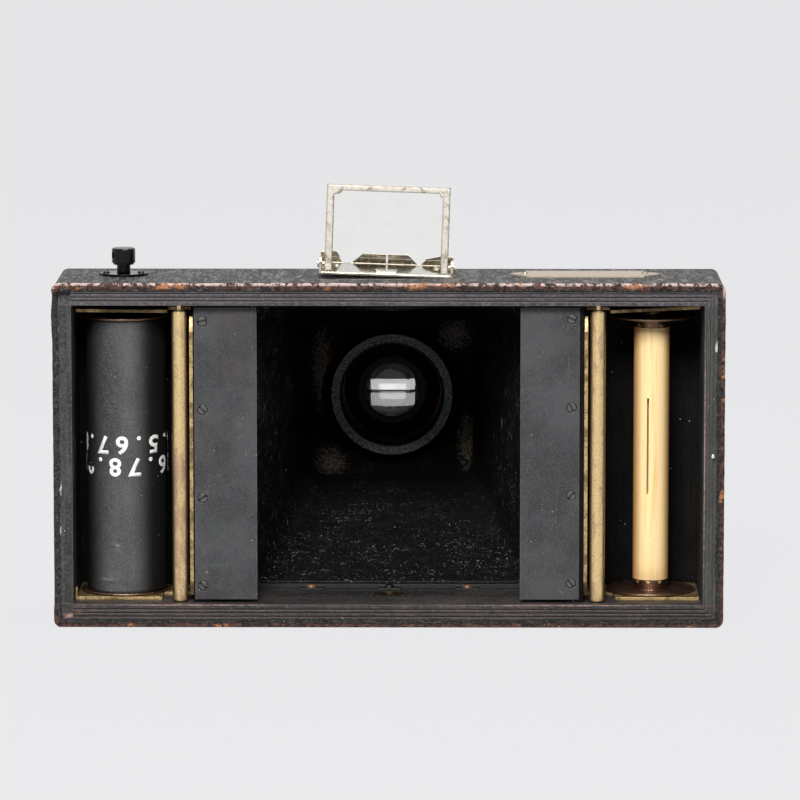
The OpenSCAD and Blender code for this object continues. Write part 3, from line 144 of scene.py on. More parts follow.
class Graph:
    """A node tree being drawn. Each method adds nodes and gives back a socket; a colour is three numbers."""

    def __init__(self, tree):
        self.tree = tree

    def add(self, kind, inputs=None, **settings):
        node = self.tree.nodes.new(kind)
        for name, value in settings.items():
            setattr(node, name, value)
        for name, value in (inputs or {}).items():
            self.join(value, node.inputs[name])
        return node

    def join(self, value, socket):
        if isinstance(value, bpy.types.NodeSocket):
            self.tree.links.new(value, socket)
        elif socket.type == "RGBA":
            socket.default_value = (*value, 1)
        else:
            socket.default_value = value

    def math(self, operation, a, b=0.0):
        return self.add("ShaderNodeMath", {0: a, 1: b}, operation=operation).outputs[0]

    def times(self, a, b):
        return self.math("MULTIPLY", a, b)

    def plus(self, a, b):
        return self.math("ADD", a, b)

    def minus(self, a, b):
        return self.math("SUBTRACT", a, b)

    def vector(self, operation, a, b=(0, 0, 0), output=0):
        return self.add("ShaderNodeVectorMath", {0: a, 1: b}, operation=operation).outputs[output]

    def split(self, vector):
        return self.add("ShaderNodeSeparateXYZ", {0: vector}).outputs

    def along(self, axis):
        """How far the surface lies along X, Y or Z, in metres"""
        return self.split(self.place)[axis]

    def noise(self, scale, detail=4.0, roughness=0.55, distortion=0.0, at=None):
        vector = self.place if at is None else at
        return self.add("ShaderNodeTexNoise", {"Vector": vector, "Scale": scale, "Detail": detail,
                                               "Roughness": roughness, "Distortion": distortion}).outputs[0]

    def cells(self, vector, scale, feature="F1", output="Distance"):
        return self.add("ShaderNodeTexVoronoi", {"Vector": vector, "Scale": scale},
                        feature=feature).outputs[output]

    def ramp(self, value, low, high, to_low=0.0, to_high=1.0, kind="SMOOTHSTEP"):
        inputs = {"Value": value, "From Min": low, "From Max": high, "To Min": to_low, "To Max": to_high}
        return self.add("ShaderNodeMapRange", inputs, interpolation_type=kind).outputs[0]

    def mix(self, factor, a, b):
        return self.add("ShaderNodeMix", {0: factor, 6: a, 7: b}, data_type="RGBA").outputs[2]

    def stretch(self, scale=(1, 1, 1), turn=(0, 0, 0), shift=(0, 0, 0)):
        """The surface's own place, stretched, turned and shifted"""
        inputs = {"Vector": self.place, "Scale": scale, "Rotation": turn, "Location": shift}
        return self.add("ShaderNodeMapping", inputs).outputs[0]

    def bump(self, height, strength, distance, normal=None):
        inputs = {"Height": height, "Strength": strength, "Distance": distance}
        if normal is not None:
            inputs["Normal"] = normal
        return self.add("ShaderNodeBump", inputs).outputs[0]

    def effect(self, group, at=None, **inputs):
        """Places one of the shared effects and gives back its outputs"""
        return self.add("ShaderNodeGroup", {"Place": self.place if at is None else at, **inputs},
                        node_tree=group).outputs

    def edge_wear_and_shade(self, radius, amount, breakup):
        return self.effect(EDGE_WEAR_AND_SHADE, Radius=radius, Amount=amount, Breakup=breakup)

    def specks(self, scale, size, share, at=None):
        return self.effect(SPECKS, at, Scale=scale, Size=size, Share=share)[0]

    def scratches(self, scale, width, share, at=None):
        return self.effect(SCRATCHES, at, Scale=scale, Width=width, Share=share)[0]


def shared_effect(name, outputs, **inputs):
    """A new node group and its graph; an input is a number, or a vector where three are given"""
    group = bpy.data.node_groups.new(name, "ShaderNodeTree")
    for label, value in {"Place": (0, 0, 0), **inputs}.items():
        kind = "NodeSocketVector" if isinstance(value, tuple) else "NodeSocketFloat"
        group.interface.new_socket(label, in_out="INPUT", socket_type=kind).default_value = value
    for label in outputs:
        kind = "NodeSocketVector" if label == "Normal" else "NodeSocketFloat"
        group.interface.new_socket(label, in_out="OUTPUT", socket_type=kind)
    graph = Graph(group)
    graph.given = graph.add("NodeGroupInput").outputs
    graph.place = graph.given["Place"]
    graph.result = graph.add("NodeGroupOutput").inputs
    return group, graph


def edge_wear_and_shade_effect():
    """Where the edges of a solid are rubbed, a mask that also lays painted shade along edges, and the
    direction of its softened surface
    """
    group, g = shared_effect("edge_wear_and_shade", ["Mask", "Normal"], Radius=0.0004, Amount=0.5, Breakup=900.0)
    soft = g.add("ShaderNodeBevel", {"Radius": g.given["Radius"]}, samples=4).outputs[0]
    flat = g.add("ShaderNodeNewGeometry").outputs["Normal"]
    edge = g.ramp(g.minus(1.0, g.vector("DOT_PRODUCT", soft, flat, "Value")), 0.004, 0.12)
    patches = g.noise(g.given["Breakup"], 5, 0.65)
    rubbed = g.ramp(g.minus(patches, g.minus(1.0, g.given["Amount"])), -0.12, 0.12)
    g.join(g.times(edge, rubbed), g.result["Mask"])
    g.join(soft, g.result["Normal"])
    return group


def box_edge_effect():
    """How far a point on a box lies from the nearest edge of the box, in metres"""
    group, g = shared_effect("box_edge", ["Distance"], Middle=(0, 0, 0), Half=(1, 1, 1))
    away = g.vector("ABSOLUTE", g.vector("SUBTRACT", g.place, g.given["Middle"]))
    x, y, z = g.split(g.vector("SUBTRACT", g.given["Half"], away))
    low = g.math("MINIMUM", x, y)
    high = g.math("MAXIMUM", x, y)
    g.join(g.math("MAXIMUM", low, g.math("MINIMUM", high, z)), g.result["Distance"])
    return group


def pebble_effect():
    """Grain of stamped or natural leather"""
    group, g = shared_effect("pebble_grain", ["Height", "Creases"], Scale=900.0)
    bent = g.noise(260, 3)
    shift = g.add("ShaderNodeCombineXYZ", {0: bent, 1: bent, 2: bent}).outputs[0]
    bend = 0.0012
    place = g.vector("ADD", g.place, g.vector("MULTIPLY", shift, (bend, bend, bend)))
    pebbles = g.cells(place, g.given["Scale"], "SMOOTH_F1")
    gaps = g.cells(place, g.given["Scale"], "DISTANCE_TO_EDGE")
    fine = g.noise(5200, 3)
    g.join(g.plus(g.minus(1.0, pebbles), g.times(fine, 0.35)), g.result["Height"])
    g.join(g.ramp(gaps, 0.0, 0.12, 1.0, 0.0), g.result["Creases"])
    return group


def speck_effect():
    """Scattered specks of dust or pits; Share is how many cells of the pattern hold one"""
    group, g = shared_effect("specks", ["Mask"], Scale=700.0, Size=0.2, Share=0.2)
    distance = g.cells(g.place, g.given["Scale"])
    chance = g.split(g.cells(g.place, g.given["Scale"], output="Color"))[0]
    dot = g.ramp(distance, g.times(g.given["Size"], 0.6), g.given["Size"], 1.0, 0.0, "LINEAR")
    g.join(g.times(dot, g.math("LESS_THAN", chance, g.given["Share"])), g.result["Mask"])
    return group


def scratch_effect():
    """Fine curved scratches: level lines of a stretched noise, broken into short runs"""
    group, g = shared_effect("scratches", ["Mask"], Scale=90.0, Width=0.008, Share=0.4)
    total = 0.0
    for turn, squeeze in (((0.1, 0.5, 0.2), 0.35), ((0.3, -0.9, 0.1), 0.5), ((0.0, 1.3, 0.6), 0.2)):
        lines = g.stretch((1, 1, squeeze), turn)
        away = g.math("ABSOLUTE", g.minus(g.noise(g.given["Scale"], 1, 0.4, at=lines), 0.5))
        thin = g.ramp(away, 0.0, g.given["Width"], 1.0, 0.0, "LINEAR")
        broken = g.noise(g.times(g.given["Scale"], 2.6), 3, 0.6, at=lines)
        limit = g.minus(0.8, g.times(g.given["Share"], 0.5))
        run = g.ramp(g.minus(broken, limit), 0.0, 0.05)
        total = g.plus(total, g.times(thin, run))
    g.join(g.math("MINIMUM", total, 1.0), g.result["Mask"])
    return group


def patch_effect():
    """One ragged patch at a given place"""
    group, g = shared_effect("patch", ["Mask"], Middle=(0, 0, 0), Half=(1, 1, 1), Breakup=900.0)
    share = g.vector("DIVIDE", g.vector("SUBTRACT", g.place, g.given["Middle"]), g.given["Half"])
    ragged = g.times(g.minus(g.noise(g.given["Breakup"], 4, 0.65), 0.5), 2.2)
    reach = g.plus(g.vector("LENGTH", share, output="Value"), ragged)
    g.join(g.ramp(reach, 0.25, 1.0, 1.0, 0.0), g.result["Mask"])
    return group


def fibre_effect():
    """Wood fibres that run along one axis; Along squeezes the pattern on that axis"""
    group, g = shared_effect("wood_fibres", ["Height", "Tone"], Along=(1, 1, 0.06), Scale=900.0)
    lines = g.vector("MULTIPLY", g.place, g.given["Along"])
    fibres = g.noise(g.given["Scale"], 6, 0.6, 0.4, at=lines)
    rings = g.noise(g.times(g.given["Scale"], 0.22), 3, 0.5, 0.8, at=lines)
    g.join(g.plus(g.times(fibres, 0.6), g.times(rings, 0.4)), g.result["Tone"])
    g.join(fibres, g.result["Height"])
    return group


EDGE_WEAR_AND_SHADE = edge_wear_and_shade_effect()
BOX_EDGE = box_edge_effect()
PEBBLES = pebble_effect()
SPECKS = speck_effect()
SCRATCHES = scratch_effect()
PATCH = patch_effect()
FIBRES = fibre_effect()


# Finishes

class Finish(Graph):
    """The graph of a new material, whose colour is built up in layers"""

    def __init__(self, name, **constants):
        self.material = bpy.data.materials.new(name)
        self.material.use_nodes = True
        super().__init__(self.material.node_tree)
        self.shader = self.tree.nodes["Principled BSDF"].inputs
        for label, value in constants.items():
            self.join(value, self.shader[label.replace("_", " ")])
        self.place = self.add("ShaderNodeTexCoord").outputs["Object"]

    def lay(self, mask, tint):
        """Lays a tint over the colour so far"""
        self.colour = self.mix(mask, self.colour, tint)

    def sprinkle(self, tint, strength, scale, size, share, at=None):
        """Lays specks over the colour so far"""
        self.lay(self.times(self.specks(scale, size, share, at), strength), tint)

    def patch(self, patches):
        """Lays ragged patches; each is a middle and a half size in millimetres, and a tint"""
        for middle, half, tint in patches:
            self.lay(self.effect(PATCH, Middle=Vector(middle) * MM, Half=Vector(half) * MM)[0], tint)

    def finish(self, roughness=None, normal=None, metallic=None):
        """Joins the results to the shader and gives back the material"""
        for value, label in ((self.colour, "Base Color"), (roughness, "Roughness"), (normal, "Normal"),
                             (metallic, "Metallic")):
            if value is not None:
                self.join(value, self.shader[label])
        return self.material


def grey(value):
    return (value, value, value)


def leather_finish(name, low_node, high_node, rim_wear):
    """Black grained leather over a box, rubbed brown, orange and pink along the edges"""
    g = Finish(name, Specular_IOR_Level=0.4)
    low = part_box(low_node)[0]
    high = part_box(high_node)[1]
    near = g.effect(BOX_EDGE, Middle=(low + high) / 2, Half=(high - low) / 2)[0]
    pebbles = g.effect(PEBBLES, Scale=1000.0)
    cloud = g.noise(170, 5, 0.7)
    fine = g.noise(1900, 4, 0.7)
    fibres = g.noise(1000, 5, 0.75, 0.6, at=g.stretch((0.5, 1, 1), (0.2, 0.1, 0.3)))
    rear = g.ramp(g.along("Y"), low.y + 0.0004, low.y + 0.002, 1.0, 0.0)
    top = g.ramp(g.along("Z"), high.z - 0.006, high.z - 0.003)
    width = g.plus(0.0017, g.times(g.times(rear, top), rim_wear))
    ragged = g.plus(near, g.times(g.minus(cloud, 0.5), 0.0032))
    ragged = g.plus(ragged, g.times(g.minus(fine, 0.5), 0.0016))
    wear = g.minus(1.0, g.ramp(g.math("DIVIDE", ragged, width), 0.55, 1.0))
    relief = g.noise(620, 6, 0.72, 0.8, at=g.stretch((1, 0.22, 1)))
    tone = g.mix(g.ramp(fibres, 0.45, 0.62), (0.009, 0.008, 0.008), (0.058, 0.053, 0.05))
    # Painted highlight on the raised parts of the relief, stronger towards the top face
    painted_relief_highlight = g.times(g.ramp(relief, 0.5, 0.58), g.ramp(top, 0.0, 1.0, 0.2, 0.9))
    tone = g.mix(painted_relief_highlight, tone, (0.2, 0.19, 0.18))
    # Painted shade in the hollows of the relief
    tone = g.mix(g.ramp(relief, 0.42, 0.48, 0.95, 0.0), tone, grey(0.003))
    tone = g.mix(g.ramp(cloud, 0.35, 0.75, 0.0, 0.5), tone, (0.024, 0.02, 0.018))
    # Painted shade in the creases of the grain
    tone = g.mix(g.times(pebbles["Creases"], 0.85), tone, grey(0.003))
    nicks = g.noise(700, 4, 0.7)
    worn = g.mix(g.ramp(nicks, 0.4, 0.58), (0.01, 0.006, 0.006), (0.105, 0.045, 0.033))
    orange = g.ramp(g.noise(95, 4, 0.65, at=g.stretch((0.5, 1, 1))), 0.57, 0.62)
    orange = g.times(orange, g.ramp(nicks, 0.4, 0.5))
    worn = g.mix(orange, worn, g.mix(g.ramp(fine, 0.4, 0.6), (0.27, 0.085, 0.022), (0.52, 0.25, 0.12)))
    line = g.plus(near, g.times(g.minus(fine, 0.5), 0.0008))
    broken = g.ramp(g.noise(520, 4, 0.7), 0.46, 0.54)
    pale = g.times(g.ramp(line, 0.0004, 0.0011, 1.0, 0.0), g.times(broken, top))
    worn = g.mix(pale, worn, (0.6, 0.46, 0.43))
    g.colour = g.mix(wear, tone, worn)
    g.sprinkle(grey(0.4), 0.5, 620.0, 0.16, 0.05)
    height = g.plus(g.times(pebbles["Height"], 0.6), g.times(fibres, 0.7))
    height = g.plus(height, g.times(relief, 1.2))
    height = g.minus(height, g.times(wear, 0.5))
    return g.finish(g.ramp(fibres, 0.3, 0.7, 0.6, 0.42), g.bump(height, 0.95, 0.0007))


def wood_finish(name, along, dark, light, worn, wear_amount, flecks, gloss=0.35, patches=()):
    """Stained wood with fibres along one axis, worn edges and ragged patches"""
    g = Finish(name, Specular_IOR_Level=gloss, Roughness=0.6)
    fibres = g.effect(FIBRES, Along=along, Scale=850.0)
    edges = g.edge_wear_and_shade(0.0004, wear_amount, 420.0)
    fine = g.noise(1900, 4, 0.75, at=g.stretch((0.5, 1, 0.5)))
    g.colour = g.mix(g.ramp(fibres["Tone"], 0.38, 0.62), dark, light)
    g.lay(g.ramp(fine, 0.5, 0.62, 0.0, flecks), worn)
    g.lay(g.ramp(fine, 0.36, 0.46, 0.75, 0.0), (dark[0] * 0.3, dark[1] * 0.3, dark[2] * 0.3))
    cloud = g.noise(60, 4, 0.6)
    g.lay(g.ramp(cloud, 0.45, 0.8, 0.0, 0.35), worn)
    g.patch(patches)
    g.lay(edges["Mask"], worn)
    g.sprinkle(grey(0.5), 0.6, 640.0, 0.17, 0.05)
    height = g.plus(g.times(fibres["Height"], 0.7), g.times(fine, 0.5))
    return g.finish(None, g.bump(height, 0.6, 0.00025, edges["Normal"]))


def metal_finish(name, colour, dull, rough, grime=0.4, wear=0.5, edge=None, radius=0.00025, pits=0.05,
                 metallic=1.0, patch_scale=240.0, lie=(1, 1, 1), gloss=0.5):
    """Aged metal: soft tarnish, fine scratches, small dark pits and tinted edges, rubbed where the tint is
    pale
    """
    g = Finish(name, Specular_IOR_Level=gloss)
    edges = g.edge_wear_and_shade(radius, wear, 700.0)
    cloud = g.noise(patch_scale, 6, 0.65, at=g.stretch(lie))
    fine = g.noise(2300, 4, 0.7)
    stain = g.ramp(g.plus(g.times(cloud, 0.7), g.times(fine, 0.3)), 0.66 - 0.3 * grime, 0.84 - 0.3 * grime)
    g.colour = g.mix(stain, colour, dull)
    if edge:
        g.lay(edges["Mask"], edge)
    lines = g.scratches(150.0, 0.01, 0.5)
    spots = g.specks(900.0, 0.28, pits)
    g.lay(g.times(spots, 0.75), (dull[0] * 0.25, dull[1] * 0.22, dull[2] * 0.2))
    rough_map = g.plus(rough, g.times(stain, 0.18))
    rough_map = g.minus(rough_map, g.times(lines, 0.08))
    height = g.plus(g.times(fine, 0.5), g.times(g.plus(lines, spots), -0.6))
    return g.finish(rough_map, g.bump(height, 0.25, 0.00006, edges["Normal"]),
                    g.ramp(stain, 0.0, 1.0, metallic, metallic * 0.7))


def plate_finish():
    """Blued steel plate gone grey, with fine scratches, specks and faint stains"""
    g = Finish("blued_plate", Metallic=0.3)
    edges = g.edge_wear_and_shade(0.0003, 0.6, 500.0)
    cloud = g.noise(45, 6, 0.62)
    fine = g.noise(1900, 5, 0.7)
    g.colour = g.mix(g.ramp(cloud, 0.38, 0.62), (0.029, 0.029, 0.032), (0.056, 0.056, 0.06))
    g.lay(g.ramp(fine, 0.48, 0.64, 0.0, 0.5), (0.105, 0.106, 0.11))
    tint = g.noise(65, 3, 0.6, at=g.stretch(shift=(0.3, 0.1, 0.2)))
    g.lay(g.ramp(tint, 0.55, 0.7, 0.0, 0.35), (0.072, 0.055, 0.052))
    g.lay(g.ramp(tint, 0.45, 0.3, 0.0, 0.35), (0.048, 0.058, 0.052))
    g.patch([((-57.3, -23, 20.0), (6.5, 6, 1.6), (0.06, 0.085, 0.072)),
             ((-61.2, -23, 18.0), (2.0, 6, 0.8), (0.3, 0.31, 0.31)),
             ((-61.8, -23, 44.9), (2.3, 6, 2.3), (0.13, 0.085, 0.088)),
             ((-57.2, -23, 51.5), (1.6, 6, 0.9), (0.13, 0.13, 0.135))])
    scratch_sets = ((70.0, 0.0022, 0.4, 0.35), (170.0, 0.005, 0.35, 0.3), (260.0, 0.009, 0.4, 0.3))
    for scale, width, share, strength in scratch_sets:
        g.lay(g.times(g.scratches(scale, width, share), strength), grey(0.24))
    g.sprinkle(grey(0.02), 0.7, 520.0, 0.15, 0.07)
    g.sprinkle(grey(0.45), 0.7, 560.0, 0.13, 0.05, at=g.stretch(shift=(0.5, 0, 0)))
    g.lay(g.times(edges["Mask"], 0.6), grey(0.3))
    return g.finish(g.ramp(fine, 0.3, 0.7, 0.42, 0.6), g.bump(fine, 0.2, 0.00008, edges["Normal"]))


def paper_finish():
    """Black backing paper, matt, a little polished where it has been handled; painted shade darkens it
    towards the sides of the roll, and painted highlights and shade mark its dents
    """
    g = Finish("backing_paper", Specular_IOR_Level=0.4)
    fine = g.noise(2600, 5, 0.7)
    cloud = g.noise(70, 5, 0.6, at=g.stretch((1, 1, 0.4)))
    g.colour = g.mix(g.ramp(cloud, 0.35, 0.65), (0.03, 0.031, 0.033), (0.066, 0.066, 0.07))
    g.lay(g.ramp(fine, 0.48, 0.62, 0.0, 0.65), grey(0.15))
    # Painted shade: darker towards the sides of the roll, either side of a line just off its axis
    low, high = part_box("take_up_flanges")
    aside = g.math("ABSOLUTE", g.minus(g.along("X"), (low.x + high.x) / 2 - 0.001))
    g.lay(g.ramp(aside, 0.0035, 0.0115, 0.0, 0.95), grey(0.003))
    lines = g.scratches(80.0, 0.006, 0.25)
    g.lay(g.times(lines, 0.3), grey(0.25))
    # Painted highlights and painted shade on the dents and on the bulge low on the loose turn
    g.patch([((-92.3, -12.5, 26.6), (2.6, 4, 1.3), grey(0.095)),
             ((-91.9, -12.5, 25.9), (1.1, 4, 0.6), grey(0.15)),
             ((-93.6, -12.5, 25.4), (0.9, 4, 0.7), grey(0.012)),
             ((-91.5, -12.5, 23.8), (1.8, 4, 0.5), grey(0.09)),
             ((-95.5, -11, 14.2), (4, 5, 0.9), grey(0.14))])
    g.sprinkle(grey(0.4), 0.5, 560.0, 0.13, 0.05)
    height = g.plus(g.times(cloud, 0.8), g.times(fine, 0.2))
    return g.finish(g.ramp(fine, 0.3, 0.7, 0.42, 0.56), g.bump(height, 0.35, 0.0003))


def bag_finish():
    """Thin black leather, creased, with pale dust and lint, and a painted highlight along the creases"""
    g = Finish("bag_leather", Specular_IOR_Level=0.2)
    fine = g.noise(1500, 5, 0.7)
    folds = g.noise(150, 5, 0.7, 1.5, at=g.stretch((1, 0.6, 1.0)))
    crease_highlight = g.ramp(g.math("ABSOLUTE", g.minus(folds, 0.5)), 0.0, 0.025, 1.0, 0.0)
    g.colour = g.mix(g.ramp(fine, 0.4, 0.75), (0.0035, 0.0035, 0.0045), (0.012, 0.0118, 0.0135))
    patches = g.noise(95, 4, 0.65, 1.2, at=g.stretch((0.8, 1, 1.6), (0.1, 0.2, 0.4)))
    dusty = g.plus(g.ramp(patches, 0.46, 0.6), g.ramp(g.along("X"), -0.03, -0.045, 0.0, 0.7))
    dust = g.specks(1350.0, 0.26, 0.2, at=g.stretch((1, 0.5, 1)))
    lint = g.scratches(300.0, 0.016, 0.5, at=g.stretch(turn=(0.5, 0.2, 1.1)))
    lint = g.times(lint, g.ramp(fine, 0.42, 0.52))
    dusty = g.times(dusty, g.ramp(g.along("Y"), 0.05, 0.09, 1.0, 0.35))
    dirt = g.math("MINIMUM", g.times(g.math("MAXIMUM", dust, lint), dusty), 1.0)
    # Painted highlight along the creases
    g.lay(g.times(crease_highlight, 0.3), grey(0.04))
    g.lay(g.times(dirt, 0.85), (0.5, 0.49, 0.45))
    height = g.plus(folds, g.times(fine, 0.12))
    return g.finish(g.ramp(fine, 0.3, 0.7, 0.42, 0.62), g.bump(height, 0.6, 0.001))


def spool_wood_finish():
    """Pale cream turned wood, with painted shade that makes it orange towards its sides and ends"""
    g = Finish("spool_wood", Specular_IOR_Level=0.4)
    fibres = g.effect(FIBRES, Along=(1, 1, 0.04), Scale=1300.0)
    g.colour = g.mix(g.ramp(fibres["Tone"], 0.3, 0.55), (0.8, 0.52, 0.2), (0.93, 0.7, 0.36))
    stain = g.noise(190, 4, 0.6, at=g.stretch((1, 1, 0.25)))
    g.lay(g.ramp(stain, 0.6, 0.85, 0.0, 0.4), (0.62, 0.36, 0.12))
    low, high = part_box("supply_core")
    z = g.along("Z")
    across = g.math("ABSOLUTE", g.minus(g.along("X"), (low.x + high.x) / 2))
    half = (high.x - low.x) / 2
    # Painted shade: orange-brown towards the sides of the core
    g.lay(g.ramp(across, half * 0.5, half * 0.98, 0.0, 0.85), (0.5, 0.24, 0.07))
    # Painted shade near both ends of the core
    ends = g.math("MAXIMUM", g.ramp(z, low.z + 0.004, low.z + 0.01, 1.0, 0.0),
                  g.ramp(z, high.z - 0.009, high.z - 0.004))
    g.lay(g.times(ends, 0.35), (0.42, 0.23, 0.09))
    g.sprinkle((0.2, 0.1, 0.04), 0.6, 520.0, 0.12, 0.06)
    return g.finish(0.42, g.bump(fibres["Height"], 0.2, 0.00008))


def glass_finish(name, tint, ior, rough):
    """Clear old glass with a faint tint and smears"""
    g = Finish(name, Transmission_Weight=1.0, IOR=ior, Roughness=rough)
    smear = g.noise(180, 4, 0.7)
    g.colour = g.mix(g.ramp(smear, 0.4, 0.8), tint, (tint[0] * 0.95, tint[1] * 0.96, tint[2] * 0.95))
    return g.finish()


def ink_finish():
    """Pale printing ink on the backing paper, rubbed thin in places"""
    g = Finish("pale_ink", Roughness=0.8)
    worn = g.noise(1800, 4, 0.7)
    g.colour = g.mix(g.ramp(worn, 0.5, 0.72), (0.82, 0.82, 0.8), grey(0.3))
    return g.finish()


def tube_finish():
    """The lens tube: a grey grained rim round a blackened bore, with a thin bright ring painted on as a
    highlight and a few blue-green glints painted on as reflections
    """
    g = Finish("dark_tube_metal", Metallic=0.2, Specular_IOR_Level=0.2)
    low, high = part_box("lens_tube")
    off_x = g.minus(g.along("X"), (low.x + high.x) / 2)
    off_z = g.minus(g.along("Z"), (low.z + high.z) / 2)
    from_axis = g.math("SQRT", g.plus(g.times(off_x, off_x), g.times(off_z, off_z)))
    rim = g.ramp(from_axis, 0.0187, 0.019)
    fine = g.noise(2100, 4, 0.75)
    edges = g.edge_wear_and_shade(0.00025, 0.72, 700.0)
    g.colour = g.mix(g.ramp(fine, 0.4, 0.62), (0.02, 0.021, 0.022), (0.23, 0.24, 0.245))
    # Painted reflections: blue-green glints
    g.patch([((19, 107, 57), (1.3, 4, 5), (0.05, 0.11, 0.12)),
             ((16, 107, 49), (1.4, 4, 2), (0.06, 0.13, 0.11))])
    # Painted highlight: a thin bright ring in the bore
    ring = g.ramp(g.math("ABSOLUTE", g.minus(from_axis, 0.01765)), 0.0001, 0.00025, 1.0, 0.0)
    bore = g.mix(g.math("MAXIMUM", edges["Mask"], ring), grey(0.0012), grey(0.22))
    g.colour = g.mix(rim, bore, g.colour)
    return g.finish(g.ramp(rim, 0.0, 1.0, 0.9, 0.5), g.bump(fine, 0.4, 0.0001, edges["Normal"]))


def shadow_black_finish(name, tint, patches, share):
    """Dull black of the unlit inside, with brownish rubbed places"""
    g = Finish(name, Roughness=0.85, Specular_IOR_Level=0.08)
    fine = g.noise(1500, 5, 0.75)
    cloud = g.noise(90, 4, 0.6)
    rubbed = g.times(g.ramp(fine, 0.5, 0.66), g.ramp(cloud, 0.45, 0.7, 0.0, share))
    g.colour = g.mix(rubbed, grey(0.003), tint)
    g.patch(patches)
    g.lay(g.ramp(fine, 0.42, 0.54, 0.8, 0.0), grey(0.002))
    return g.finish(None, g.bump(fine, 0.4, 0.00015))


def carrier_finish():
    """Brass of the spool carriers: golden with dark pits, its upper arms darkened brown between the ends as a
    painted dark reflection
    """
    g = Finish("carrier_brass", Metallic=1.0)
    edges = g.edge_wear_and_shade(0.0002, 0.6, 700.0)
    cloud = g.noise(260, 5, 0.65)
    fine = g.noise(1700, 4, 0.75)
    g.colour = g.mix(g.ramp(cloud, 0.42, 0.62), (0.58, 0.42, 0.2), (0.24, 0.16, 0.075))
    g.lay(g.ramp(fine, 0.52, 0.64, 0.0, 0.8), (0.06, 0.04, 0.02))
    g.lay(g.times(edges["Mask"], 0.7), (0.8, 0.66, 0.4))
    # Painted dark reflection on the upper arms, between their ends
    for side in (-1, 1):
        arm_dark_reflection = g.effect(PATCH, Middle=Vector((side * 88, 0, 107)) * MM, Half=Vector((12.5, 40, 3.4)) * MM,
                       Breakup=500.0)[0]
        g.lay(g.times(arm_dark_reflection, 0.9), (0.1, 0.075, 0.045))
    return g.finish(g.ramp(fine, 0.4, 0.65, 0.5, 0.62), g.bump(fine, 0.3, 0.00008, edges["Normal"]))


def roller_finish():
    """Guide rollers: golden brass, mottled lower down, with painted shade that browns the sides facing away
    from the view
    """
    g = Finish("roller_brass", Metallic=0.9)
    edges = g.edge_wear_and_shade(0.0003, 0.5, 700.0)
    cloud = g.noise(300, 5, 0.7, at=g.stretch((1, 1, 0.35)))
    fine = g.noise(1500, 4, 0.75)
    lower = g.times(g.ramp(g.along("Z"), 0.02, 0.08, 0.13, 0.0), g.ramp(g.along("X"), -0.01, 0.01, 1.0, 0.1))
    g.colour = g.mix(g.ramp(g.plus(cloud, lower), 0.48, 0.68), (1.0, 0.74, 0.37), (0.62, 0.42, 0.26))
    g.lay(g.ramp(fine, 0.54, 0.66, 0.0, 0.6), (0.26, 0.17, 0.09))
    # Painted shade: browner where the surface turns away from the view
    side = g.ramp(g.add("ShaderNodeLayerWeight").outputs["Facing"], 0.22, 0.62)
    g.lay(g.times(side, 0.85), (0.16, 0.1, 0.045))
    return g.finish(g.ramp(cloud, 0.4, 0.6, 0.28, 0.42), g.bump(fine, 0.25, 0.00006, edges["Normal"]))


def finder_base_finish():
    """Nickel of the finder's base: pale edges, its upright lip painted dark gold between them as a dark
    reflection
    """
    g = Finish("finder_base_nickel")
    edges = g.edge_wear_and_shade(0.00035, 0.75, 300.0)
    low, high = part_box("finder_base")
    fine = g.noise(1300, 4, 0.7, at=g.stretch((1, 1, 0.3)))
    cloud = g.noise(260, 4, 0.6)
    plain = g.mix(g.ramp(cloud, 0.45, 0.7), (0.74, 0.7, 0.6), (0.5, 0.45, 0.35))
    # Painted dark reflection: the dark gold of the upright lip
    dark = g.mix(g.ramp(fine, 0.4, 0.6), (0.17, 0.14, 0.085), (0.38, 0.33, 0.22))
    lip = g.ramp(g.along("Y"), high.y - 0.005, high.y - 0.0035)
    g.colour = g.mix(lip, plain, dark)
    g.lay(edges["Mask"], (0.8, 0.74, 0.6))
    return g.finish(g.ramp(cloud, 0.4, 0.7, 0.06, 0.16),
                    g.bump(fine, 0.05, 0.00003, edges["Normal"]), g.ramp(lip, 0.0, 1.0, 1.0, 0.6))


def copper_screw_finish():
    """Coppered screws on the tunnel's floor, dull with age; the middle one is black"""
    g = Finish("copper_screw", Roughness=0.5, Metallic=0.5)
    edges = g.edge_wear_and_shade(0.0002, 0.5, 900.0)
    fine = g.noise(2400, 4, 0.7)
    copper = g.mix(g.ramp(fine, 0.4, 0.62), (0.3, 0.15, 0.075), (0.09, 0.05, 0.03))
    black = g.mix(g.ramp(fine, 0.5, 0.7), grey(0.006), (0.03, 0.028, 0.026))
    off = g.math("ABSOLUTE", g.along("X"))
    g.colour = g.mix(g.ramp(off, 0.004, 0.006), black, copper)
    return g.finish(None, g.bump(fine, 0.2, 0.00005, edges["Normal"]))


def trim_screw_finish():
    """Small steel screws; those of the key's plate are blackened"""
    g = Finish("small_screw_steel", Roughness=0.36, Metallic=0.8)
    edges = g.edge_wear_and_shade(0.0002, 0.5, 900.0)
    fine = g.noise(2600, 4, 0.7)
    bright = g.mix(g.ramp(fine, 0.4, 0.65), (0.5, 0.45, 0.38), (0.16, 0.12, 0.08))
    black = g.mix(g.ramp(fine, 0.45, 0.7), grey(0.02), (0.07, 0.055, 0.045))
    g.colour = g.mix(g.ramp(g.along("X"), -0.061, -0.059), black, bright)
    return g.finish(None, g.bump(fine, 0.2, 0.00005, edges["Normal"]))


ALONG_X = (0.05, 1, 1)
ALONG_Z = (1, 1, 0.05)
PINKISH = (0.3, 0.19, 0.165)
ORANGE = (0.36, 0.13, 0.04)


def wear(piece, material):
    """Puts one material on every slot of a piece"""
    if not piece.material_slots:
        piece.data.materials.append(material)
    for slot in piece.material_slots:
        slot.material = material


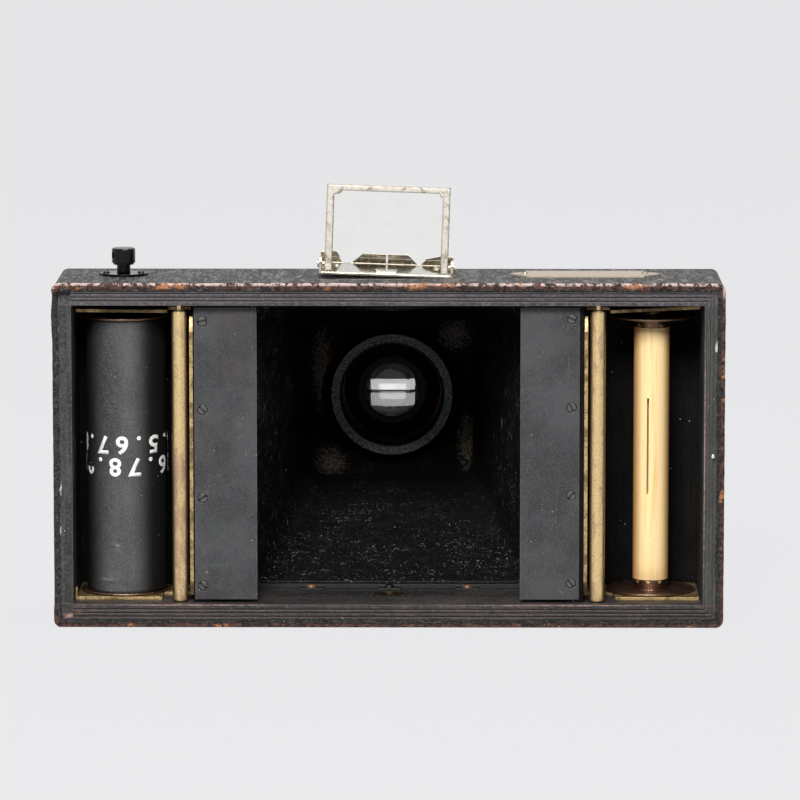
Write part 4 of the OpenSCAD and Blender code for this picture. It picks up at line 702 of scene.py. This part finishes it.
def dress(material, *names):
    """Puts a finish on the solids of these names and gives it back"""
    for name in names:
        wear(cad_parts[name], material)
    return material


# Pieces made here

def placed(name, mesh, material):
    """A mesh as a piece of the scene, in its finish"""
    piece = bpy.data.objects.new(name, mesh)
    scene.collection.objects.link(piece)
    wear(piece, material)
    return piece


def rolled(value, scale, seed):
    """Smooth noise between about -1 and 1 at a place in millimetres"""
    return noise.noise(Vector((value[0] / scale + seed, value[1] / scale, value[2] / scale)))


def loft(name, rings, material, closed_ring=True, closed_loft=False):
    """Joins rings of points, in millimetres, into one smooth skin"""
    count = len(rings[0])
    faces = []
    for i in range(len(rings) if closed_loft else len(rings) - 1):
        a = i * count
        b = (i + 1) % len(rings) * count
        for j in range(count if closed_ring else count - 1):
            k = (j + 1) % count
            faces.append((a + j, a + k, b + k, b + j))
    mesh = bpy.data.meshes.new(name)
    mesh.from_pydata([Vector(p) * MM for ring in rings for p in ring], [], faces)
    mesh.validate()
    mesh.polygons.foreach_set("use_smooth", [True] * len(mesh.polygons))
    return placed(name, mesh, material)


def face_outward(piece, fill_ends=False):
    """Turns the faces of a piece outwards, after filling its open ends if asked"""
    shape = bmesh.new()
    shape.from_mesh(piece.data)
    if fill_ends:
        bmesh.ops.holes_fill(shape, edges=[e for e in shape.edges if e.is_boundary])
    bmesh.ops.recalc_face_normals(shape, faces=shape.faces)
    shape.to_mesh(piece.data)
    shape.free()


def apply_modifiers(piece):
    """Turns a piece with live modifiers into a plain mesh"""
    depsgraph = bpy.context.evaluated_depsgraph_get()
    done = bpy.data.meshes.new_from_object(piece.evaluated_get(depsgraph))
    old = piece.data
    piece.modifiers.clear()
    piece.data = done
    done.name = piece.name
    bpy.data.meshes.remove(old)


def thicken(piece, wall, side):
    """Gives a skin a wall in millimetres: inwards for a side of -1, half each way for 0"""
    thick = piece.modifiers.new("wall", "SOLIDIFY")
    thick.thickness = wall * MM
    thick.offset = side
    apply_modifiers(piece)


def rounded_box_point(share, half_w, half_h, radius):
    """A point on a rounded rectangle, share of the way round it"""
    w = half_w - radius
    h = half_h - radius
    corner = math.pi * radius / 2
    run = share * (4 * w + 4 * h + 4 * corner)
    sides = [(2 * w, (1, 0), (-w, half_h)), (2 * h, (0, -1), (half_w, h)),
             (2 * w, (-1, 0), (w, -half_h)), (2 * h, (0, 1), (-half_w, -h))]
    corners = [(w, h, 90), (w, -h, 0), (-w, -h, -90), (-w, h, 180)]
    for (length, way, start), (cx, cz, angle) in zip(sides, corners):
        if run <= length:
            return start[0] + way[0] * run, start[1] + way[1] * run
        run -= length
        if run <= corner:
            turn = math.radians(angle) - run / radius
            return cx + radius * math.cos(turn), cz + radius * math.sin(turn)
        run -= corner
    return sides[0][2]


def make_bag(material):
    """The leather bag: a lofted skin that sags in soft creases between its ends"""
    low, high = box_mm("bag")
    frame_low, frame_high = box_mm("bag_front_frame")
    end_gap = 0.2
    side_gap = 1.6
    rear = low.y + end_gap
    front = high.y - end_gap
    rear_z = (low.z + high.z) / 2
    front_z = (frame_low.z + frame_high.z) / 2
    rear_w = high.x - low.x - side_gap
    rear_h = high.z - low.z - side_gap
    front_w = frame_high.x - frame_low.x
    steps = 90
    around = 240
    rings = []
    for i in range(steps + 1):
        t = i / steps
        y = rear + (front - rear) * t
        half_w = (rear_w + (front_w - rear_w) * t) / 2
        half_h = (rear_h + (front_w - rear_h) * t) / 2
        middle = rear_z + (front_z - rear_z) * t
        radius = 4 + 5 * t
        slack = math.sin(math.pi * t)
        sag = -0.5 * slack
        ring = []
        for j in range(around):
            x, z = rounded_box_point(j / around, half_w, half_h, radius)
            spot = Vector((x, y, z))
            soft = rolled(spot, 16, 3.1) * 1.6 + rolled(spot, 6, 8.2) * 0.6
            across = min(abs(x) / half_w, abs(z) / half_h)
            pull = -1.3 * slack * (1 - across ** 2)
            grow = 1 + (pull + soft * slack) / max(half_w, half_h)
            ring.append((x * grow, y, middle + z * grow + sag))
        rings.append(ring)
    bag = loft("bag_skin", rings, material)
    bag.data.flip_normals()
    face_outward(bag)
    thicken(bag, 0.7, -1)
    return bag


class PaperRoll:
    """The wound backing paper: a sheet whose last turn has sprung loose, dented near its foot"""
    roll_r = 12.72
    loose_r = 14.5
    wall = 0.15
    sweep = 250
    end_angle = -12
    dents = [(-92.6, 26.6, 2.0, 0.7, 0.55), (-92.0, 25.2, 1.0, 1.0, 0.5), (-91.5, 23.4, 1.8, 0.35, 0.4),
             (-95, 14.5, 4.0, 1.4, -0.4), (-93, 12.6, 3.0, 0.5, 0.4)]

    def __init__(self):
        low, high = box_mm("take_up_flanges")
        self.axis = ((low.x + high.x) / 2, (low.y + high.y) / 2)
        roll_low, roll_high = box_mm("film_roll")
        self.z0 = roll_low.z
        self.z1 = roll_high.z

    def point(self, degrees, z, lift=0.0):
        """A point of the sheet, degrees round its axis and z up; the loose turn ends at end_angle"""
        angle = math.radians(degrees)
        loose = max(0.0, (degrees - self.end_angle + self.sweep) / self.sweep)
        r = self.roll_r + (self.loose_r - self.roll_r) * loose ** 2.4
        flat = Vector((r * math.cos(angle), r * math.sin(angle), z))
        r += (0.05 + 0.16 * loose) * rolled(flat, 15, 5.0) + 0.03 * rolled(flat, 4, 1.0)
        x = self.axis[0] + r * math.cos(angle)
        if loose > 0 and math.sin(angle) < 0:
            rough = 0.6 + 0.6 * rolled(flat, 1.6, 9.0)
            for dent_x, dent_z, half_x, half_z, depth in self.dents:
                near = math.exp(-((x - dent_x) / half_x) ** 2 - ((z - dent_z) / half_z) ** 2)
                r -= depth * near * rough
        r = min(r, self.loose_r) + lift
        return self.axis[0] + r * math.cos(angle), self.axis[1] + r * math.sin(angle), z

    def sheet(self, material):
        turn_steps = 210
        rows = 100
        turns = 360 + self.sweep
        start = self.end_angle - turns
        rings = []
        for k in range(rows + 1):
            z = self.z0 + (self.z1 - self.z0) * k / rows
            rings.append([self.point(start + turns * i / turn_steps, z) for i in range(turn_steps + 1)])
        roll = loft("paper_roll", rings, material, closed_ring=False)
        thicken(roll, self.wall, 0)
        face_outward(roll)
        return roll

    def ink_row(self, name, words, middle_z, height, centre_angle, material):
        """A row of plain numbers and dots, printed upside down round the paper"""
        letters = bpy.data.curves.new(name, "FONT")
        letters.body = words
        size_for_height = 1.4
        thicker = 0.22
        letters.size = height * size_for_height
        letters.offset = thicker
        letters.align_x = "CENTER"
        flat = bpy.data.objects.new(name, letters)
        scene.collection.objects.link(flat)
        depsgraph = bpy.context.evaluated_depsgraph_get()
        mesh = bpy.data.meshes.new_from_object(flat.evaluated_get(depsgraph))
        bpy.data.objects.remove(flat)
        shape = bmesh.new()
        shape.from_mesh(mesh)
        bmesh.ops.remove_doubles(shape, verts=shape.verts, dist=0.01)
        # Cuts across the row let it follow the curve of the paper
        strip = 0.6
        reach = max(abs(v.co.x) for v in shape.verts)
        cut = -reach
        while cut < reach:
            everything = list(shape.verts) + list(shape.edges) + list(shape.faces)
            bmesh.ops.bisect_plane(shape, geom=everything, plane_co=(cut, 0, 0), plane_no=(1, 0, 0))
            cut += strip
        proud = 0.04
        for v in shape.verts:
            degrees = centre_angle - math.degrees(v.co.x / self.roll_r)
            v.co = Vector(self.point(degrees, middle_z + height / 2 - v.co.y, self.wall / 2 + proud)) * MM
        bmesh.ops.reverse_faces(shape, faces=shape.faces)
        shape.to_mesh(mesh)
        shape.free()
        row = placed(name, mesh, material)
        thicken(row, 0.03, -1)
        face_outward(row)
        return row


def make_turned_edge(material):
    """The leather where it turns in over the rear edge: an uneven bead, torn and bulging at the left end"""
    low = box_mm("leather_base")[0]
    high = box_mm("leather_wrap")[1]
    half_w = (high.x - low.x) / 2
    half_h = (high.z - low.z) / 2
    middle_z = (high.z + low.z) / 2
    around = 1100
    section = 12
    corner = 2.6
    torn_z = 104.5
    torn_reach = 4.2
    step_back = 3.0
    step_low = 6.5
    step_high = 114.0
    step_run = 0.8
    rings = []
    for i in range(around):
        x, z = rounded_box_point(i / around, half_w, half_h, corner)
        ahead_x, ahead_z = rounded_box_point((i + 0.5) / around, half_w, half_h, corner)
        along = Vector((ahead_x - x, 0, ahead_z - z)).normalized()
        out = Vector((-along.z, 0, along.x))
        spot = Vector((x, 0, z))
        height = z + middle_z
        uneven = 1 + 0.35 * rolled(spot, 5.5, 2.0) + 0.3 * rolled(spot, 1.7, 6.0)
        torn = math.exp(-((height - torn_z) / torn_reach) ** 2) if x < -half_w + 1 else 0.0
        wide = 1.12 + 0.22 * rolled(spot, 2.3, 4.0) + 0.14 * rolled(spot, 0.9, 7.0)
        proud = 0.12 + 0.1 * rolled(spot, 4.0, 3.0) + 0.45 * torn * (1 + 0.5 * rolled(spot, 1.5, 1.0))
        thick = 0.24 * uneven + 0.3 * torn
        # The left end stands back for the cover
        above = min(1.0, max(0.0, (height - step_low) / step_run))
        below = min(1.0, max(0.0, (step_high - height) / step_run))
        rear_y = low.y + (step_back * (above * below) if x < 0 else 0.0)
        ring = []
        for j in range(section):
            turn = 2 * math.pi * j / section
            point = spot + out * (proud - wide + wide * math.cos(turn))
            ring.append((point.x, rear_y - thick * math.sin(turn), point.z + middle_z))
        rings.append(ring)
    edge = loft("turned_leather_edge", rings, material, closed_loft=True)
    face_outward(edge)
    return edge


def make_wound_turns(roll, material):
    """The tight turns of paper inside the roll: one spiral strip, from a node tree with named sizes"""
    name = "wound_turns"
    core_low, core_high = box_mm("take_up_core")
    inner_r = (core_high.x - core_low.x) / 2 + 0.15
    outer_r = roll.roll_r - roll.wall - 0.2
    pitch = 0.42
    sizes = {"Inner": inner_r * MM, "Outer": outer_r * MM, "Turns": (outer_r - inner_r) / pitch,
             "Thick": 0.16 * MM, "Tall": (roll.z1 - roll.z0 - 0.4) * MM}
    tree = bpy.data.node_groups.new(name, "GeometryNodeTree")
    ids = {}
    for label in sizes:
        socket = tree.interface.new_socket(label, in_out="INPUT", socket_type="NodeSocketFloat")
        ids[label] = socket.identifier
    tree.interface.new_socket("Geometry", in_out="OUTPUT", socket_type="NodeSocketGeometry")
    given = tree.nodes.new("NodeGroupInput").outputs
    g = Graph(tree)
    spiral = g.add("GeometryNodeCurveSpiral", {
        "Resolution": 48, "Rotations": given["Turns"], "Start Radius": given["Inner"],
        "End Radius": given["Outer"], "Height": 0.0}).outputs[0]
    upright = g.add("GeometryNodeSetCurveNormal", {"Curve": spiral}, mode="Z_UP").outputs[0]
    strip = g.add("GeometryNodeCurvePrimitiveQuadrilateral", {
        "Width": given["Thick"], "Height": given["Tall"]}).outputs[0]
    shape = g.add("GeometryNodeCurveToMesh", {
        "Curve": upright, "Profile Curve": strip, "Fill Caps": True}).outputs[0]
    middle = Vector((roll.axis[0], roll.axis[1], (roll.z0 + roll.z1) / 2)) * MM
    shape = g.add("GeometryNodeTransform", {"Geometry": shape, "Translation": middle}).outputs[0]
    real = g.add("GeometryNodeRealizeInstances", {"Geometry": shape}).outputs[0]
    dressed = g.add("GeometryNodeSetMaterial", {"Geometry": real, "Material": material}).outputs[0]
    g.join(dressed, tree.nodes.new("NodeGroupOutput").inputs["Geometry"])
    piece = bpy.data.objects.new(name, bpy.data.meshes.new(name))
    scene.collection.objects.link(piece)
    spiral_maker = piece.modifiers.new("spiral", "NODES")
    spiral_maker.node_group = tree
    for label, value in sizes.items():
        spiral_maker[ids[label]] = value
    apply_modifiers(piece)
    wear(piece, material)
    face_outward(piece)
    return piece


def make_rear_glass(material):
    """The rear glass: both faces bulge towards the back, the inner one more"""
    low, high = box_mm("rear_lens")
    centre_x = (low.x + high.x) / 2
    centre_z = (low.z + high.z) / 2
    radius = (high.x - low.x) / 2
    outer_curve = 64.0
    inner_curve = 42.0
    middle_thick = 1.6
    steps = 22
    around = 96

    def bulge(curve, r):
        return math.sqrt(curve * curve - r * r) - math.sqrt(curve * curve - radius * radius)

    rear = low.y + bulge(outer_curve, 0)
    inner = rear - bulge(outer_curve, 0) + middle_thick + bulge(inner_curve, 0)
    reaches = [radius * i / steps for i in range(1, steps + 1)]
    profile = [(r, rear - bulge(outer_curve, r)) for r in reaches]
    profile += [(r, inner - bulge(inner_curve, r)) for r in reversed(reaches)]
    turns = [2 * math.pi * j / around for j in range(around)]
    rings = [[(centre_x + r * math.cos(turn), y, centre_z + r * math.sin(turn)) for turn in turns]
             for r, y in profile]
    glass = loft("rear_glass", rings, material)
    face_outward(glass, fill_ends=True)
    return glass


make_camera()
make_studio()

# Who wears what

STRUT_BARS = ("rear_riser", "rear_faller", "front_faller", "front_riser")
STRUTS = [f"{side}_strut_{bar}" for side in ("left", "right") for bar in STRUT_BARS]
# Patches of other colours: middle, half size, tint
# The first near-black patch in TOP_PATCHES is painted shadow in the gap at the top board's left end
TOP_PATCHES = [((-108.3, -23, 112.2), (1.2, 4, 3.2), grey(0.002)), ((0, 1, 112), (114, 21, 5), grey(0.002))]
BASE_PATCHES = [((-108.0, -23.5, 3.7), (2.4, 3, 1.3), PINKISH), ((-104.7, -23.5, 4.9), (1.8, 3, 0.8), ORANGE),
                ((60, -23.5, 7.5), (48, 2, 0.35), PINKISH), ((-70, -23.5, 7.5), (40, 2, 0.35), PINKISH),
                ((0, 1.5, 4), (114, 21.5, 5), grey(0.002))]
END_PATCHES = [((106.5, -23.5, 58), (0.4, 3, 46), PINKISH), ((110.3, -23.5, 95.5), (0.9, 3, 2.4), grey(0.5)),
               ((-110.9, -21, 47), (0.7, 4, 3), grey(0.4)), ((-110.9, -21, 33), (0.6, 4, 3), grey(0.3)),
               ((-109, 3, 58), (6, 21, 62), grey(0.002)), ((109, 2, 58), (6, 22, 62), grey(0.002))]
BOARD_PATCHES = [((-25, 107, 70), (5, 6, 18), (0.13, 0.095, 0.075)),
                 ((23, 107, 83), (7, 6, 7), (0.12, 0.105, 0.095)),
                 ((27, 107, 45), (4, 6, 13), (0.14, 0.11, 0.085)),
                 ((-22, 107, 37), (7, 6, 7), (0.1, 0.08, 0.065)),
                 ((-28.6, 107, 33.5), (1.2, 3, 1.2), (0.45, 0.33, 0.16))]

leather = dress(leather_finish("case_leather", "leather_base", "leather_wrap", 0.001),
                "leather_wrap", "leather_base")
dress(leather_finish("front_leather", "front_leather", "front_leather", 0.0004), "front_leather")
dress(wood_finish("rail_wood", ALONG_X, (0.026, 0.026, 0.031), (0.06, 0.059, 0.067),
                  (0.17, 0.145, 0.145), 0.7, 0.55, patches=TOP_PATCHES), "top_board")
dress(wood_finish("base_rail_wood", ALONG_X, (0.0075, 0.0075, 0.008), (0.031, 0.03, 0.032),
                  (0.13, 0.1, 0.085), 0.7, 0.5, patches=BASE_PATCHES), "base_board")
dress(wood_finish("end_board_wood", ALONG_Z, (0.014, 0.0155, 0.0145), (0.043, 0.045, 0.043),
                  (0.115, 0.112, 0.105), 0.66, 0.35, patches=END_PATCHES),
      "left_end_board", "right_end_board")
# The partitions and front panel are darkened almost to black, partly as painted shade of the chambers
dress(wood_finish("partition_wood", ALONG_Z, grey(0.0015), (0.005, 0.0045, 0.0045),
                  (0.012, 0.01, 0.01), 0.3, 0.4, 0.1), "left_partition", "right_partition")
dress(wood_finish("front_panel_wood", ALONG_Z, grey(0.0012), (0.004, 0.0036, 0.0036),
                  (0.012, 0.01, 0.009), 0.3, 0.4, 0.08), "front_panel")
dress(metal_finish("leaf_steel", (0.75, 0.73, 0.66), (0.4, 0.38, 0.33), 0.5, 0.5, 0.3, metallic=0.2),
      "shutter_leaf")
dress(plate_finish(), "left_film_plate", "right_film_plate")
dress(metal_finish("plate_screw_steel", (0.1, 0.098, 0.095), (0.03, 0.027, 0.025), 0.45, 0.5, 0.95,
                   grey(0.002), radius=0.0006, metallic=0.4), "film_plate_screws")
dress(carrier_finish(), "left_spool_carrier", "right_spool_carrier")
dress(roller_finish(), "left_guide_roller", "right_guide_roller")
dress(metal_finish("coppered_tin", (0.22, 0.12, 0.085), (0.055, 0.032, 0.025), 0.38, 0.55, 0.85,
                   (0.92, 0.76, 0.5), radius=0.0002, pits=0.2), "supply_flanges", "take_up_flanges")
dress(metal_finish("key_enamel", grey(0.002), (0.005, 0.0045, 0.004), 0.16, 0.3, 0.35,
                   (0.08, 0.07, 0.055), metallic=0.0, pits=0.02, gloss=0.28), "key_plate", "winding_key")
dress(metal_finish("black_frame_metal", grey(0.01), (0.018, 0.017, 0.016), 0.5, 0.4, 0.3,
                   (0.06, 0.05, 0.045), metallic=0.0), "bag_rear_frame")
dress(metal_finish("aged_nickel", (0.7, 0.66, 0.58), (0.3, 0.24, 0.16), 0.26, 0.46, 0.9,
                   (0.075, 0.06, 0.04), radius=0.0003, pits=0.1, patch_scale=330.0),
      "front_foot", "release_lever", "left_strut_bracket", "right_strut_bracket", "left_front_bracket",
      "right_front_bracket", *STRUTS)
# The finder frame's dark edge tint is painted shade along its rounded edges
dress(metal_finish("finder_frame_nickel", (0.8, 0.75, 0.66), (0.22, 0.16, 0.1), 0.3, 0.6, 0.95,
                   (0.055, 0.037, 0.022), radius=0.0009, pits=0.2, metallic=0.5, patch_scale=420.0),
      "finder_frame")
dress(finder_base_finish(), "finder_base")
dress(metal_finish("name_plate_nickel", (0.42, 0.36, 0.29), (0.26, 0.2, 0.165), 0.45, 0.35, 0.6,
                   (0.12, 0.08, 0.06), metallic=0.6, pits=0.0, lie=(0.2, 1, 1)), "name_plate")
dress(trim_screw_finish(), "trim_screws", "finder_hinge_pins")
dress(copper_screw_finish(), "interior_screws")
dress(metal_finish("bright_pin", grey(0.9), grey(0.5), 0.25, 0.2, pits=0.0), "back_locating_pin")
dress(metal_finish("shutter_enamel", grey(0.003), (0.008, 0.007, 0.007), 0.45, 0.4, 0.9,
                   (0.2, 0.15, 0.125), radius=0.0003, metallic=0.0, gloss=0.12),
      "rear_lens_cell", "stop_wheel")
dress(metal_finish("lacquered_brass", (0.68, 0.5, 0.22), (0.38, 0.25, 0.1), 0.26, 0.3, 0.5,
                   (0.9, 0.76, 0.45)), "shutter_cover", "front_lens_cell")
dress(metal_finish("bush_brass", (0.1, 0.075, 0.04), (0.03, 0.024, 0.016), 0.45, 0.5, 0.5,
                   (0.3, 0.22, 0.1)), "tripod_bush")
dress(tube_finish(), "lens_tube")
dress(shadow_black_finish("front_board_black", (0.09, 0.07, 0.058), BOARD_PATCHES, 0.5), "front_board")
# These black parts are made deeper than their own black, as painted shade in the hole round the lens
dress(shadow_black_finish("black_with_painted_shade", (0.02, 0.018, 0.016), [], 0.3), "bag_front_frame", "shutter_case")
dress(spool_wood_finish(), "supply_core", "take_up_core")
paper = dress(paper_finish(), "film_roll")
ink = ink_finish()
bag_leather = dress(bag_finish(), "bag")
dress(glass_finish("finder_glass", (0.99, 0.99, 0.985), 1.3, 0.012), "finder_lens")
lens_glass = dress(glass_finish("lens_glass", (0.93, 0.96, 0.99), 1.7, 0.0), "rear_lens", "front_lens")

# The new pieces

bag_skin = make_bag(bag_leather)
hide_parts("bag")
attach(bag_skin, "case")
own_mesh(bag_skin)

turned_edge = make_turned_edge(leather)
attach(turned_edge, "case")

roll = PaperRoll()
paper_sheet = roll.sheet(paper)
wound_turns = make_wound_turns(roll, paper)
figure_height = 6.0
row_angle = -96
upper_row = roll.ink_row("upper_ink_row", "4 . 5 . 6 7 . 8 9", 60.2, figure_height, row_angle, ink)
lower_row = roll.ink_row("lower_ink_row", "5 6 . 7 8 . 9 10", 52.7, figure_height, row_angle, ink)
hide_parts("film_roll")
rear_glass = make_rear_glass(lens_glass)
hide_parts("rear_lens")
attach(rear_glass, "front")
for piece in (paper_sheet, wound_turns, upper_row, lower_row):
    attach(piece, "take_up_spool")
